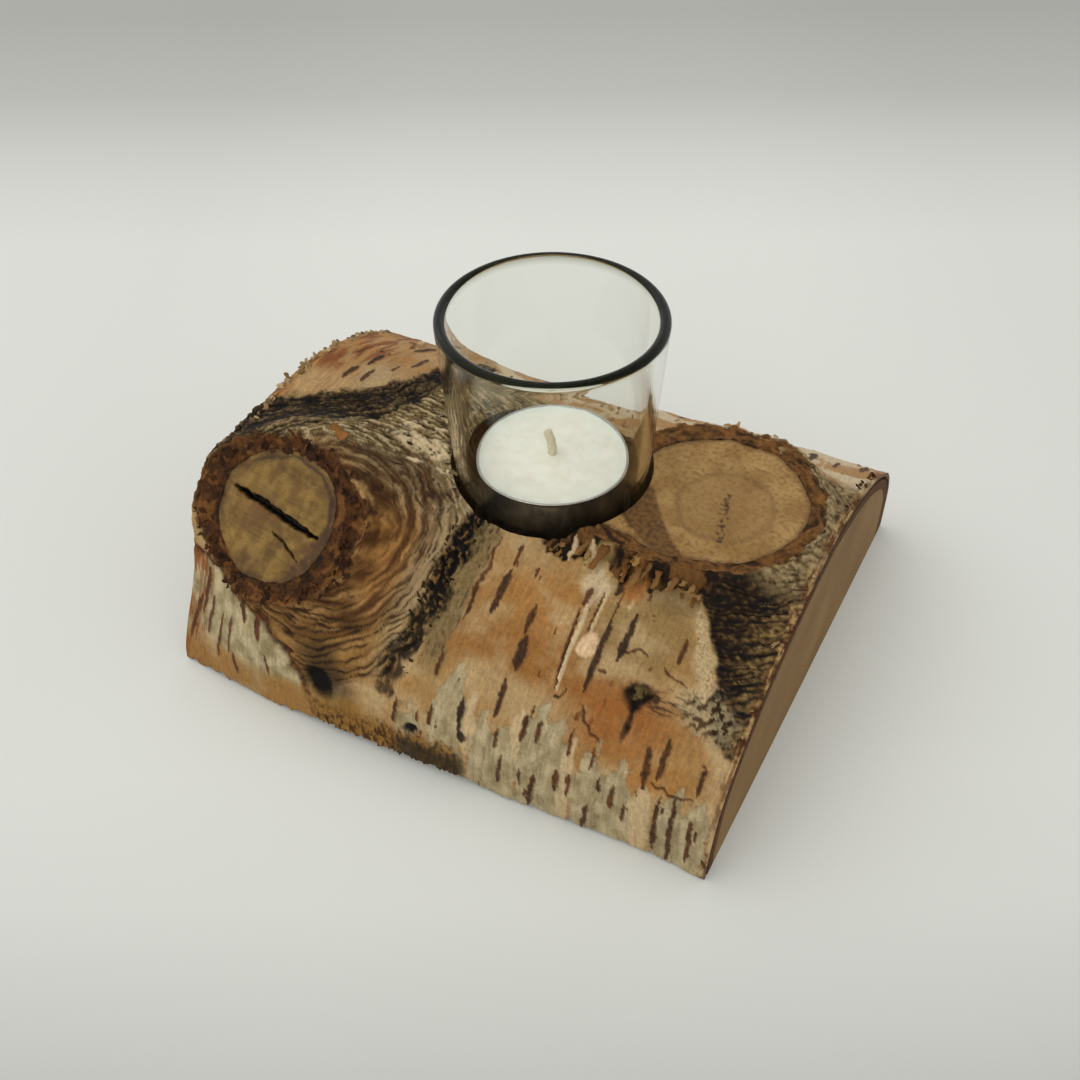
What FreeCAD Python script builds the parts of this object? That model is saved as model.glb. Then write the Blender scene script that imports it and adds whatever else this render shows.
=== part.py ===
"""Half-log tealight holder: a sawn half of a birch log with two branch stubs, its bark still on, and a
blind bore in the top that holds a glass cup with a tealight in it.

Row frame, in millimetres: the origin lies on the flat base, straight below the axis of the bore. +X runs
along the log, +Y to its back and +Z up. Every solid of the log is cut out of one blank, so that wood,
inner bark and outer bark share their faces and never overlap.
"""
import FreeCAD, Part
import Sketcher
import os
from math import hypot, sqrt

from FreeCAD import Rotation, Vector

# Driving dimensions: alias, value in mm (or degrees for a tilt), meaning.
SIZES = [
    ("left_end", -75.4, "the left sawn end, along X"),
    ("right_end", 71.8, "the right sawn end, along X"),
    ("overrun", 6, "how far a cutting form runs past the face that it cuts"),
    ("bark_total", 5.5, "bark, both layers, measured square to the surface"),
    ("outer_bark_thick", 1.1, "papery outer bark"),
    ("shoulder_radius", 25, "round of the log's front and back shoulders"),
    ("bore_radius", 25.4, "blind bore for the glass"),
    ("bore_floor", 33, "height of the bore's floor above the base"),
    # The left branch, which points to the front and up, and the right one, which points straight up.
    ("left_stub_x", -52, "centre of the left branch's sawn face"),
    ("left_stub_y", -43.5, "centre of the left branch's sawn face"),
    ("left_stub_z", 45.5, "centre of the left branch's sawn face"),
    ("left_stub_tilt", 43, "lean of the left branch from upright, towards the front"),
    ("left_stub_radius", 16.5, "wood of the left branch at its sawn face"),
    ("left_collar_radius", 22.5, "bark ring round the left branch at its sawn face"),
    ("left_collar_foot", 31, "the same ring where it runs out into the log"),
    ("left_collar_depth", 22, "how far below the sawn face that is"),
    ("left_stub_length", 50, "from its root, inside the trunk, to the sawn face"),
    ("right_stub_x", 42.5, "centre of the right branch's sawn face"),
    ("right_stub_y", 7, "centre of the right branch's sawn face"),
    ("right_stub_z", 49, "centre of the right branch's sawn face"),
    ("right_stub_tilt", 0, "lean of the right branch from upright, towards the front"),
    ("right_stub_radius", 22, "wood of the right branch at its sawn face"),
    ("right_collar_radius", 27, "bark ring round the right branch at its sawn face"),
    ("right_collar_foot", 36, "the same ring where it runs out into the log"),
    ("right_collar_depth", 16, "how far below the sawn face that is"),
    ("right_stub_length", 42, "from its root, inside the trunk, to the sawn face"),
    ("stub_root_radius", 3, "a branch's wood at its root"),
    ("collar_overrun", 4, "how far a collar's cone runs on past the sawn face, which trims it"),
    ("core_overrun", 5, "how far a branch's wood runs on past the sawn face, which trims it"),
    ("collar_foot_bark", 7.7, "bark round a branch where its collar runs out into the log"),
    ("collar_lap", 0.6, "how far the trunk's own swelling stays inside a branch at its sawn face"),
    ("saw_radius", 34, "reach of the cut that trims a branch flush"),
    ("blank_width", 200, "the box that saws the log to size, across the log"),
    ("blank_height", 120, "the box that saws the log to size, above the base"),
    # The glass cup.
    ("glass_height", 60, "glass cup, foot to rim"),
    ("glass_foot_radius", 23.3, "outside of the glass at its foot"),
    ("glass_rim_radius", 26.85, "outside of the glass at its rim"),
    ("glass_wall", 2.7, "glass wall, measured level"),
    ("glass_base", 4.6, "thickness of the glass bottom"),
    ("glass_heel", 2.2, "round at the foot of the glass"),
    ("glass_punt", 0.7, "hollow under the glass bottom"),
    ("glass_punt_radius", 17, "width of that hollow"),
    ("glass_corner", 2.6, "round inside, where wall and floor meet"),
    ("glass_rim_round", 1.2, "rounds of the glass's rim"),
    # The tealight.
    ("can_height", 15.4, "aluminium cup of the tealight"),
    ("can_foot_radius", 18.5, "outside of the aluminium cup at its foot"),
    ("can_lip_radius", 18.9, "outside of the aluminium cup under its lip"),
    ("can_wall", 0.3, "aluminium"),
    ("can_lip", 0.3, "how far the rolled lip stands out"),
    ("wax_gap", 0.12, "clearance between wax and aluminium"),
    ("wax_top", 14.8, "wax surface above the aluminium cup's foot"),
    ("wax_lift", 0.55, "mound of wax round the wick"),
    ("wax_mound_radius", 5, "width of that mound"),
    ("tab_radius", 6.2, "wick sustainer, its disc"),
    ("tab_thick", 0.3, "wick sustainer, its sheet"),
    ("tab_neck_radius", 1.6, "wick sustainer, its neck"),
    ("tab_neck_height", 4, "wick sustainer, its neck above the disc"),
    ("wick_radius", 1.1, "braided, waxed wick"),
    ("wick_height", 22.2, "wick tip above the aluminium cup's foot"),
    ("wick_lean", 1.6, "how far the wick's tip leans, towards the left"),
]

# The log's outline square to its length, at four stations: an arch with upright sides, round shoulders
# and a flat-topped crown, all of its sizes to the outside of the bark.
STATION_SIZES = ("at", "front", "back", "crown", "crown_radius", "crown_at")
STATIONS = {
    "near_left": (-81.4, 64, 62, 53.6, 76, -5),
    "mid_left": (-28, 67, 65, 51.2, 80, -3),
    "mid_right": (25, 64.5, 67.5, 48.8, 86, 1),
    "near_right": (77.8, 61.5, 69, 47, 90, 4),
}

MATCH = 1e-6    # how near two sizes are when they are the same

doc = FreeCAD.newDocument("tealight_holder")
sheet = doc.addObject("Spreadsheet::Sheet", "sizes")


def fill_sheet():
    """One row per driving dimension: its name, its value with an alias, and what it means."""
    rows = list(SIZES)
    for station, values in STATIONS.items():
        for key, value in zip(STATION_SIZES, values):
            rows.append((f"{station}_{key}", value, f"log outline, {station} station, {key}"))
    for row, (alias, value, meaning) in enumerate(rows, start=1):
        sheet.set(f"A{row}", alias)
        sheet.set(f"B{row}", str(value))
        sheet.setAlias(f"B{row}", alias)
        sheet.set(f"C{row}", meaning)
    doc.recompute()


def size(alias):
    return float(sheet.get(alias))


def bind(obj, **expressions):
    """Ties properties to expressions. A double underscore stands for a dot in a property's path."""
    for path, expression in expressions.items():
        obj.setExpression(path.replace("__", "."), expression)
    return obj


def origin_plane(body, role):
    return next(f for f in body.Origin.OriginFeatures if f.Role == role)


def new_sketch(body, name, role):
    sketch = body.newObject("Sketcher::SketchObject", name)
    sketch.AttachmentSupport = [(origin_plane(body, role), "")]
    sketch.MapMode = "FlatFace"
    return sketch


# ---------------------------------------------------------------- the log's forms


def arch_sketch(body, name, station, inset):
    """The arch outline at one station, drawn in by inset, an expression in the sheet.

    Its sketch axes are the row's Y and Z.
    """
    value = {key: size(f"{station}_{key}") for key in STATION_SIZES}
    drawn_in = body.evalExpression(inset)
    foot = -size("overrun")
    round_r = size("shoulder_radius") - drawn_in
    crown_r = value["crown_radius"] - drawn_in
    left, right = -value["front"] + drawn_in, value["back"] - drawn_in
    crown_centre = Vector(value["crown_at"], value["crown"] - value["crown_radius"], 0)
    reach = crown_r - round_r

    def shoulder(across):
        """Centre of a shoulder round, and its tangent point on the crown."""
        up = sqrt(reach**2 - (across - crown_centre.x) ** 2)
        centre = Vector(across, crown_centre.y + up, 0)
        outward = (centre - crown_centre).multiply(1 / reach)
        return centre, centre + outward * round_r

    front, front_tangent = shoulder(left + round_r)
    back, back_tangent = shoulder(right - round_r)
    z_axis = Vector(0, 0, 1)

    def arc(centre, radius, start, end):
        """The arc from start to end, taken the way round that runs counterclockwise."""
        circle = Part.Circle(centre, z_axis, radius)
        return Part.ArcOfCircle(circle, circle.parameter(start), circle.parameter(end))

    sketch = new_sketch(body, name, "YZ_Plane")
    bind(sketch, AttachmentOffset__Base__z=f"sizes.{station}_at")
    base, back_side, back_round, crown, front_round, front_side = range(6)
    sketch.addGeometry([
        Part.LineSegment(Vector(left, foot, 0), Vector(right, foot, 0)),
        Part.LineSegment(Vector(right, foot, 0), Vector(right, back.y, 0)),
        arc(back, round_r, Vector(right, back.y, 0), back_tangent),
        arc(crown_centre, crown_r, back_tangent, front_tangent),
        arc(front, round_r, front_tangent, Vector(left, front.y, 0)),
        Part.LineSegment(Vector(left, front.y, 0), Vector(left, foot, 0)),
    ], False)
    start, end, middle, origin = 1, 2, 3, (-1, 1)
    rule = Sketcher.Constraint
    sketch.addConstraint([
        rule("Coincident", base, end, back_side, start),
        rule("Coincident", front_side, end, base, start),
        rule("Horizontal", base),
        rule("Vertical", back_side),
        rule("Vertical", front_side),
        rule("Tangent", back_side, end, back_round, start),
        rule("Tangent", back_round, end, crown, start),
        rule("Tangent", crown, end, front_round, start),
        rule("Tangent", front_round, end, front_side, start),
    ])
    # A plain inset of every size keeps the three forms parallel, because their rounds share centres.
    driven = {
        "foot": (rule("DistanceY", base, start, *origin, -foot), "sizes.overrun"),
        "front": (rule("DistanceX", base, start, *origin, -left), f"sizes.{station}_front - {inset}"),
        "back": (rule("DistanceX", *origin, base, end, right), f"sizes.{station}_back - {inset}"),
        "crown_r": (rule("Radius", crown, crown_r), f"sizes.{station}_crown_radius - {inset}"),
        "crown_low": (
            rule("DistanceY", crown, middle, *origin, -crown_centre.y),
            f"sizes.{station}_crown_radius - sizes.{station}_crown",
        ),
        "front_r": (rule("Radius", front_round, round_r), f"sizes.shoulder_radius - {inset}"),
        "back_r": (rule("Radius", back_round, round_r), f"sizes.shoulder_radius - {inset}"),
    }
    for key, (constraint, expression) in driven.items():
        index = sketch.addConstraint(constraint)
        sketch.renameConstraint(index, key)
        sketch.setExpression(f"Constraints.{key}", expression)
    # The crown's centre may lie on either side of the log's middle, so its distance keeps its sign here.
    if value["crown_at"] >= 0:
        offset = rule("DistanceX", *origin, crown, middle, value["crown_at"])
        expression = f"sizes.{station}_crown_at"
    else:
        offset = rule("DistanceX", crown, middle, *origin, -value["crown_at"])
        expression = f"-sizes.{station}_crown_at"
    index = sketch.addConstraint(offset)
    sketch.renameConstraint(index, "crown_at")
    sketch.setExpression("Constraints.crown_at", expression)
    return sketch


def log_form(name, inset):
    """A loft through the four arches. It runs past the sawn ends and the base, which trim it later."""
    body = doc.addObject("PartDesign::Body", name)
    sketches = [arch_sketch(body, f"{name}_{station}", station, inset) for station in STATIONS]
    doc.recompute()
    loft = body.newObject("PartDesign::AdditiveLoft", f"{name}_loft")
    loft.Profile = sketches[0]
    loft.Sections = sketches[1:]
    loft.Ruled = False
    doc.recompute()
    return body


def stub_cone(name, side, depth, radius_low, radius_face, over="0"):
    """A cone about a branch's axis: radius_low at depth below the sawn face, and radius_face on it.

    over carries the cone on past the face at the same slope. All sizes are expressions in the sheet.
    """
    cone = doc.addObject("Part::Cone", name)
    prefix = f"sizes.{side}_stub"
    tilt = f"{prefix}_tilt * 1 deg"
    bind(
        cone,
        Radius1=radius_low,
        Radius2=f"{radius_face} + ({radius_face} - ({radius_low})) * ({over}) / ({depth})",
        Height=f"{depth} + {over}",
        Placement__Base__x=f"{prefix}_x",
        Placement__Base__y=f"{prefix}_y + ({depth}) * sin({tilt})",
        Placement__Base__z=f"{prefix}_z - ({depth}) * cos({tilt})",
    )
    cone.Placement.Rotation = Rotation(Vector(1, 0, 0), size(f"{side}_stub_tilt"))
    bind(cone, Placement__Rotation__Angle=tilt)
    return cone


def saw_cut(name, side):
    """What the saw takes away when it trims a branch flush: a drum standing on the sawn face."""
    drum = doc.addObject("Part::Cylinder", name)
    prefix = f"sizes.{side}_stub"
    bind(
        drum,
        Radius="sizes.saw_radius",
        Height="sizes.saw_radius",
        Placement__Base__x=f"{prefix}_x",
        Placement__Base__y=f"{prefix}_y",
        Placement__Base__z=f"{prefix}_z",
    )
    drum.Placement.Rotation = Rotation(Vector(1, 0, 0), size(f"{side}_stub_tilt"))
    bind(drum, Placement__Rotation__Angle=f"{prefix}_tilt * 1 deg")
    return drum


def boolean(kind, name, base, tool):
    result = doc.addObject(f"Part::{kind}", name)
    result.Base, result.Tool = base, tool
    return result


def fuse(name, shapes):
    result = doc.addObject("Part::MultiFuse", name)
    result.Shapes = shapes
    return result


def sawn_block():
    """The box that the base and the two sawn ends leave of the log."""
    block = doc.addObject("Part::Box", "sawn_block")
    return bind(
        block,
        Length="sizes.right_end - sizes.left_end",
        Width="sizes.blank_width",
        Height="sizes.blank_height",
        Placement__Base__x="sizes.left_end",
        Placement__Base__y="-sizes.blank_width / 2",
    )


def bore_tool():
    """The blind bore, run up past the log's crown."""
    tool = doc.addObject("Part::Cylinder", "bore_tool")
    height = "sizes.blank_height - sizes.bore_floor"
    return bind(tool, Radius="sizes.bore_radius", Height=height, Placement__Base__z="sizes.bore_floor")


def swollen_form(name, inset, collars):
    """A log form with the swellings round both branches. collars: name, side and its three sizes."""
    shapes = [log_form(f"{name}_trunk", inset)]
    for side in ("left", "right"):
        shapes.append(stub_cone(f"{name}_{side}", side, *collars(side)))
    return fuse(name, shapes)


def build_log():
    collar = "sizes.{0}_collar_{1}"
    stub = "sizes.{0}_stub_{1}"

    over = "sizes.collar_overrun"

    def outer_collar(side):
        return collar.format(side, "depth"), collar.format(side, "foot"), collar.format(side, "radius"), over

    def inner_collar(side):
        less = " - sizes.outer_bark_thick"
        depth, foot, face, _ = outer_collar(side)
        return depth, foot + less, f"({face}{less})", over

    def wood_collar(side):
        foot = f"{collar.format(side, 'foot')} - sizes.collar_foot_bark"
        return collar.format(side, "depth"), foot, f"({stub.format(side, 'radius')} - sizes.collar_lap)"

    outer_form = swollen_form("outer_form", "0", outer_collar)
    inner_form = swollen_form("inner_form", "sizes.outer_bark_thick", inner_collar)
    wood_form = swollen_form("wood_form", "sizes.bark_total", wood_collar)
    cores = [
        stub_cone(
            f"{side}_core", side, stub.format(side, "length"), "sizes.stub_root_radius",
            stub.format(side, "radius"), "sizes.core_overrun",
        )
        for side in ("left", "right")
    ]
    core_pair = fuse("core_pair", cores)

    # The blank: the swollen log, sawn to length and flat, trimmed at both branches and bored.
    sawn = boolean("Common", "sawn_log", outer_form, sawn_block())
    cuts = fuse("cuts", [saw_cut("left_saw_cut", "left"), saw_cut("right_saw_cut", "right"), bore_tool()])
    blank = boolean("Cut", "log_blank", sawn, cuts)

    barkless = boolean("Common", "barkless", blank, wood_form)
    under_paper = boolean("Common", "under_paper", blank, inner_form)
    bark_ring = boolean("Cut", "bark_ring", under_paper, wood_form)
    parts = {
        "wood_body": boolean("Cut", "wood_body", barkless, core_pair),
        "left_branch_stub": boolean("Common", "left_branch_stub", blank, cores[0]),
        "right_branch_stub": boolean("Common", "right_branch_stub", blank, cores[1]),
        "inner_bark": boolean("Cut", "inner_bark", bark_ring, core_pair),
        "outer_bark": boolean("Cut", "outer_bark", blank, inner_form),
    }
    doc.recompute()
    return parts


# ---------------------------------------------------------------- turned pieces


def outline_sketch(body, name, corners):
    """A closed outline with straight sides. Each corner is a pair of expressions: radius and height."""
    sketch = new_sketch(body, name, "XZ_Plane")
    points = [Vector(body.evalExpression(r), body.evalExpression(z), 0) for r, z in corners]
    count = len(points)
    sketch.addGeometry([Part.LineSegment(points[i], points[(i + 1) % count]) for i in range(count)], False)
    start, end, origin = 1, 2, (-1, 1)
    for i in range(count):
        sketch.addConstraint(Sketcher.Constraint("Coincident", i, end, (i + 1) % count, start))
    for i, (radius, height) in enumerate(corners):
        for way, axis_rule, expression, value in (
            ("across", "DistanceX", radius, points[i].x),
            ("up", "DistanceY", height, points[i].y),
        ):
            index = sketch.addConstraint(Sketcher.Constraint(axis_rule, *origin, i, start, value))
            sketch.renameConstraint(index, f"{way}_{i}")
            if value > 0:
                sketch.setExpression(f"Constraints.{way}_{i}", expression)
    return sketch


def turned_body(name, corners, stands_at=None):
    """A piece turned about the bore's axis from its outline. stands_at is the height of its foot."""
    body = doc.addObject("PartDesign::Body", name)
    sketch = outline_sketch(body, f"{name}_outline", corners)
    turn = body.newObject("PartDesign::Revolution", f"{name}_turn")
    turn.Profile = sketch
    turn.ReferenceAxis = (sketch, ["V_Axis"])
    turn.Angle = 360
    if stands_at:
        bind(body, Placement__Base__z=stands_at)
    doc.recompute()
    return body


def circle_edges(feature, radius, height):
    """The names of a feature's full circles of about that radius and height, in the body's own frame."""
    names = []
    for number, edge in enumerate(feature.Shape.Edges, start=1):
        curve = edge.Curve
        if not isinstance(curve, Part.Circle):
            continue
        if hypot(curve.Radius - radius, curve.Center.z - height) < MATCH:
            names.append(f"Edge{number}")
    return names


def round_circle(body, radius, height, fillet_size):
    """Rounds one circular edge. Its radius and height are expressions, as is the round's own radius."""
    base = body.Tip
    edges = circle_edges(base, body.evalExpression(radius), body.evalExpression(height))
    assert len(edges) == 1, (body.Name, radius, height, edges)
    fillet = body.newObject("PartDesign::Fillet", f"{body.Name}_round")
    fillet.Base = (base, edges)
    bind(fillet, Radius=fillet_size)
    doc.recompute()


def build_glass():
    """A pressed glass cup: tapered wall, thick bottom, hollow under its foot, rounded rim."""
    taper = "(sizes.glass_rim_radius - sizes.glass_foot_radius) / sizes.glass_height"
    floor_radius = f"sizes.glass_foot_radius + {taper} * sizes.glass_base - sizes.glass_wall"
    rim_inside = "sizes.glass_rim_radius - sizes.glass_wall"
    glass = turned_body(
        "glass_cup",
        [
            ("0", "sizes.glass_punt"),
            ("sizes.glass_punt_radius", "0"),
            ("sizes.glass_foot_radius", "0"),
            ("sizes.glass_rim_radius", "sizes.glass_height"),
            (rim_inside, "sizes.glass_height"),
            (floor_radius, "sizes.glass_base"),
            ("0", "sizes.glass_base"),
        ],
        "sizes.bore_floor",
    )
    round_circle(glass, "sizes.glass_foot_radius", "0", "sizes.glass_heel")
    round_circle(glass, floor_radius, "sizes.glass_base", "sizes.glass_corner")
    round_circle(glass, "sizes.glass_rim_radius", "sizes.glass_height", "sizes.glass_rim_round")
    round_circle(glass, rim_inside, "sizes.glass_height", "sizes.glass_rim_round")
    return glass


def build_tealight():
    """The aluminium cup, the wax in it, and the sustainer disc whose neck holds the wick."""
    stands_at = "sizes.bore_floor + sizes.glass_base"
    floor = "sizes.can_wall"
    disc = f"({floor} + sizes.tab_thick)"
    neck = f"({disc} + sizes.tab_neck_height)"
    lip_under = "(sizes.can_height - sizes.can_lip)"
    lip_radius = "(sizes.can_lip_radius + sizes.can_lip)"
    wax_foot = "(sizes.can_foot_radius - sizes.can_wall - sizes.wax_gap)"
    wax_slope = "(sizes.can_lip_radius - sizes.can_foot_radius) / sizes.can_height"
    wax_rim = f"({wax_foot} + {wax_slope} * (sizes.wax_top - sizes.can_wall))"
    can = turned_body(
        "tealight_cup",
        [
            ("0", "0"),
            ("sizes.can_foot_radius", "0"),
            ("sizes.can_lip_radius", lip_under),
            (lip_radius, lip_under),
            (lip_radius, "sizes.can_height"),
            ("sizes.can_lip_radius - sizes.can_wall", "sizes.can_height"),
            ("sizes.can_foot_radius - sizes.can_wall", floor),
            ("0", floor),
        ],
        stands_at,
    )
    wax = turned_body(
        "candle_wax",
        [
            ("sizes.tab_radius", floor),
            (wax_foot, floor),
            (wax_rim, "sizes.wax_top"),
            ("sizes.wax_mound_radius", "sizes.wax_top"),
            ("sizes.wick_radius", "sizes.wax_top + sizes.wax_lift"),
            ("sizes.wick_radius", neck),
            ("sizes.tab_neck_radius", neck),
            ("sizes.tab_neck_radius", disc),
            ("sizes.tab_radius", disc),
        ],
        stands_at,
    )
    sustainer = turned_body(
        "wick_sustainer",
        [
            ("0", floor),
            ("sizes.tab_radius", floor),
            ("sizes.tab_radius", disc),
            ("sizes.tab_neck_radius", disc),
            ("sizes.tab_neck_radius", neck),
            ("sizes.wick_radius", neck),
            ("sizes.wick_radius", disc),
            ("0", disc),
        ],
        stands_at,
    )
    return {"tealight_cup": can, "candle_wax": wax, "wick_sustainer": sustainer, "wick": build_wick(disc)}


def build_wick(foot):
    """A round cord: straight up from its foot to the wax surface, then an even bend to the left."""
    body = doc.addObject("PartDesign::Body", "wick")
    bind(body, Placement__Base__z="sizes.bore_floor + sizes.glass_base")
    low = body.evalExpression(foot)
    bend = size("wax_top") + size("wax_lift")
    rise = size("wick_height") - bend
    lean = size("wick_lean")
    bend_radius = (rise**2 + lean**2) / (2 * lean)

    path = new_sketch(body, "wick_path", "XZ_Plane")
    # The arc is drawn counterclockwise about its centre, on the left, from upright to its leaning tip.
    circle = Part.Circle(Vector(-bend_radius, bend, 0), Vector(0, 0, 1), bend_radius)
    tip = circle.parameter(Vector(-lean, size("wick_height"), 0))
    path.addGeometry([
        Part.LineSegment(Vector(0, low, 0), Vector(0, bend, 0)),
        Part.ArcOfCircle(circle, 0, tip),
    ], False)
    stem, curl, start, end, origin = 0, 1, 1, 2, (-1, 1)
    rule = Sketcher.Constraint
    path.addConstraint([
        rule("Vertical", stem),
        rule("PointOnObject", stem, start, -2),
        rule("Tangent", stem, end, curl, start),
    ])
    driven = {
        "foot": (rule("DistanceY", *origin, stem, start, low), foot),
        "bend": (rule("DistanceY", *origin, stem, end, bend), "sizes.wax_top + sizes.wax_lift"),
        "tip_up": (rule("DistanceY", *origin, curl, end, bend + rise), "sizes.wick_height"),
        "tip_lean": (rule("DistanceX", curl, end, *origin, lean), "sizes.wick_lean"),
    }
    for key, (constraint, expression) in driven.items():
        index = path.addConstraint(constraint)
        path.renameConstraint(index, key)
        path.setExpression(f"Constraints.{key}", expression)

    section = new_sketch(body, "wick_section", "XY_Plane")
    bind(section, AttachmentOffset__Base__z=foot)
    section.addGeometry(Part.Circle(Vector(0, 0, 0), Vector(0, 0, 1), size("wick_radius")), False)
    section.addConstraint(rule("Coincident", 0, 3, *origin))
    index = section.addConstraint(rule("Radius", 0, size("wick_radius")))
    section.renameConstraint(index, "round")
    section.setExpression("Constraints.round", "sizes.wick_radius")
    doc.recompute()
    pipe = body.newObject("PartDesign::AdditivePipe", "wick_pipe")
    pipe.Profile = section
    pipe.Spine = path
    doc.recompute()
    return body


# ---------------------------------------------------------------- checks and files


def check(parts):
    """Stops unless every object recomputed, and every sub-part is one valid, filled solid."""
    for obj in doc.Objects:
        if "Invalid" in obj.State or "Error" in obj.State:
            raise RuntimeError(f"{obj.Name} failed to recompute: {obj.State}")
    for name, obj in parts.items():
        shape = obj.Shape
        if shape.isNull() or not shape.isValid() or len(shape.Solids) != 1 or shape.Volume <= 0:
            raise RuntimeError(f"{name} isn't one valid solid")


def main():
    fill_sheet()
    parts = build_log()
    parts["glass_cup"] = build_glass()
    parts.update(build_tealight())
    doc.recompute()
    check(parts)
    os.makedirs("parts", exist_ok=True)
    for name, obj in parts.items():
        obj.Label = name
        obj.Shape.exportStep(f"parts/{name}.step")
        box = obj.Shape.optimalBoundingBox()
        corners = (box.XMin, box.YMin, box.ZMin, box.XMax, box.YMax, box.ZMax)
        print(f"{name:20}{obj.Shape.Volume:12.1f} mm3  ", *(f"{c:8.2f}" for c in corners))


main()
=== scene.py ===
"""Looks of the half-log tealight holder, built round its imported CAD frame.

The log's surface is one field: the distance from the axis that runs along the log under its bore, for
each place along the log (x) and each angle round it. The smooth field is measured on the CAD solids, and
the relief and the colours of the bark are worked out over it. Work is in millimetres until a mesh is made.
A place on the bark is (x, v), where v is the way round from the top in millimetres, front negative.
"""
import math

import bmesh
import bpy
import numpy as np
from mathutils import Matrix, Vector
from mathutils.bvhtree import BVHTree


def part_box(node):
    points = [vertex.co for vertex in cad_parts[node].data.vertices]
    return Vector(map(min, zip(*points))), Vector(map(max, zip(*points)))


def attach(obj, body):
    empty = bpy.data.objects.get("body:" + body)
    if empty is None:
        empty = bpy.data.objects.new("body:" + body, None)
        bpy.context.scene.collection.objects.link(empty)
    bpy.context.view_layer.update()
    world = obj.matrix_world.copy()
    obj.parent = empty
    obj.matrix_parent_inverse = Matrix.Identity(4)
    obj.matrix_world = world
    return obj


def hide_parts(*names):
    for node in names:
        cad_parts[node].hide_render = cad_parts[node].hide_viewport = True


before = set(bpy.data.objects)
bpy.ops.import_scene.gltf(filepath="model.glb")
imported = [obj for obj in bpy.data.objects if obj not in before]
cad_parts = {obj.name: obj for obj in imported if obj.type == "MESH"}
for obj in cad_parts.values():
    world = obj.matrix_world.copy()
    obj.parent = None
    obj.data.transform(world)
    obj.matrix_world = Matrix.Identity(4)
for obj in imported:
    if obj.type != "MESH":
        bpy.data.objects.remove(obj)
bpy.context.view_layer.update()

MM = 0.001
STEP = 0.35             # spacing of the fine bark grid
COARSE = 0.8            # spacing of the grid for the layers under the bark
GIRTH = 58.0            # mean radius of the log: v is GIRTH times the angle round it
PAPER = 1.0             # thickness of the papery outer bark
THINNEST = 0.25         # its least thickness, under a hollow
BARK = 5.2              # thickness of both bark layers
DEEPEST = 1.3           # the deepest hollow in the outer bark
CLEAR = 0.05            # how far a hidden face stays behind the one in front of it
FAR = 120               # well outside the log
ON_TOP = 0.9            # the bore lies within this many radians of the log's top


def box_mm(node):
    low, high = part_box(node)
    return np.array(low) / MM, np.array(high) / MM


LOG_LOW, LOG_HIGH = box_mm("outer_bark")
LEFT_END, RIGHT_END = LOG_LOW[0], LOG_HIGH[0]
GLASS_LOW, GLASS_HIGH = box_mm("glass_cup")
BORE_FLOOR = GLASS_LOW[2]
BORE_RADIUS = 25.4      # a 2 inch bit


# ---------------------------------------------------------------- noise and masks


def noise(a, b, seed):
    """Smooth gradient noise over two arrays, from about -1 to 1, one cell to each unit."""
    cells = 256
    turn = np.random.default_rng(seed).random((cells, cells)) * 2 * math.pi
    low_a, low_b = np.floor(a).astype(int), np.floor(b).astype(int)
    fa, fb = a - low_a, b - low_b
    wa, wb = fa * fa * fa * (fa * (fa * 6 - 15) + 10), fb * fb * fb * (fb * (fb * 6 - 15) + 10)

    def corner(da, db):
        angle = turn[(low_a + da) % cells, (low_b + db) % cells]
        return np.cos(angle) * (fa - da) + np.sin(angle) * (fb - db)

    near = corner(0, 0) * (1 - wa) + corner(1, 0) * wa
    far = corner(0, 1) * (1 - wa) + corner(1, 1) * wa
    return 1.5 * (near * (1 - wb) + far * wb)


def layered(a, b, seed, octaves=4):
    """Noise with finer and finer layers over it."""
    total, weight = 0.0, 1.0
    for octave in range(octaves):
        fine = 2**octave
        total = total + weight * noise(a * fine + 7.3 * octave, b * fine + 3.1 * octave, seed + octave)
        weight *= 0.5
    return total


def ridged(a, b, seed, octaves=3):
    """Sharp ridges with round valleys between them, from 0 to about 1."""
    total, weight, most = 0.0, 1.0, 0.0
    for octave in range(octaves):
        total = total + weight * (1 - np.abs(noise(a * 2**octave, b * 2**octave, seed + octave)) * 1.6)
        most += weight
        weight *= 0.5
    return unit(total / most)


def ease(value, low, high):
    """Rises smoothly from 0 at low to 1 at high."""
    part = unit((value - low) / (high - low))
    return part * part * (3 - 2 * part)


def fade(value, low, high):
    """Falls smoothly from 1 at low to 0 at high."""
    return 1 - ease(value, low, high)


def unit(value):
    """A value, kept between 0 and 1."""
    return np.clip(value, 0, 1)


def half_by(change):
    """A share of one half, moved up or down and kept between 0 and 1."""
    return unit(0.5 + change)


def mix(a, b, share):
    """Blends numbers, fields of numbers, or colours (whose last axis is 3) with a field of shares."""
    share = np.asarray(share)
    if share.ndim > 1 and any(np.ndim(end) and np.shape(end)[-1] == 3 for end in (a, b)):
        share = share[..., None]
    return a + (b - a) * share


def spot(x, v, at, radii, turn=0.0, soft=0.25):
    """1 inside an ellipse about at and 0 outside it, with a soft edge. turn is in degrees."""
    c, s = math.cos(math.radians(turn)), math.sin(math.radians(turn))
    dx, dv = x - at[0], v - at[1]
    reach = np.hypot((dx * c + dv * s) / radii[0], (dv * c - dx * s) / radii[1])
    return fade(reach, 1 - soft, 1 + soft)


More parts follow.
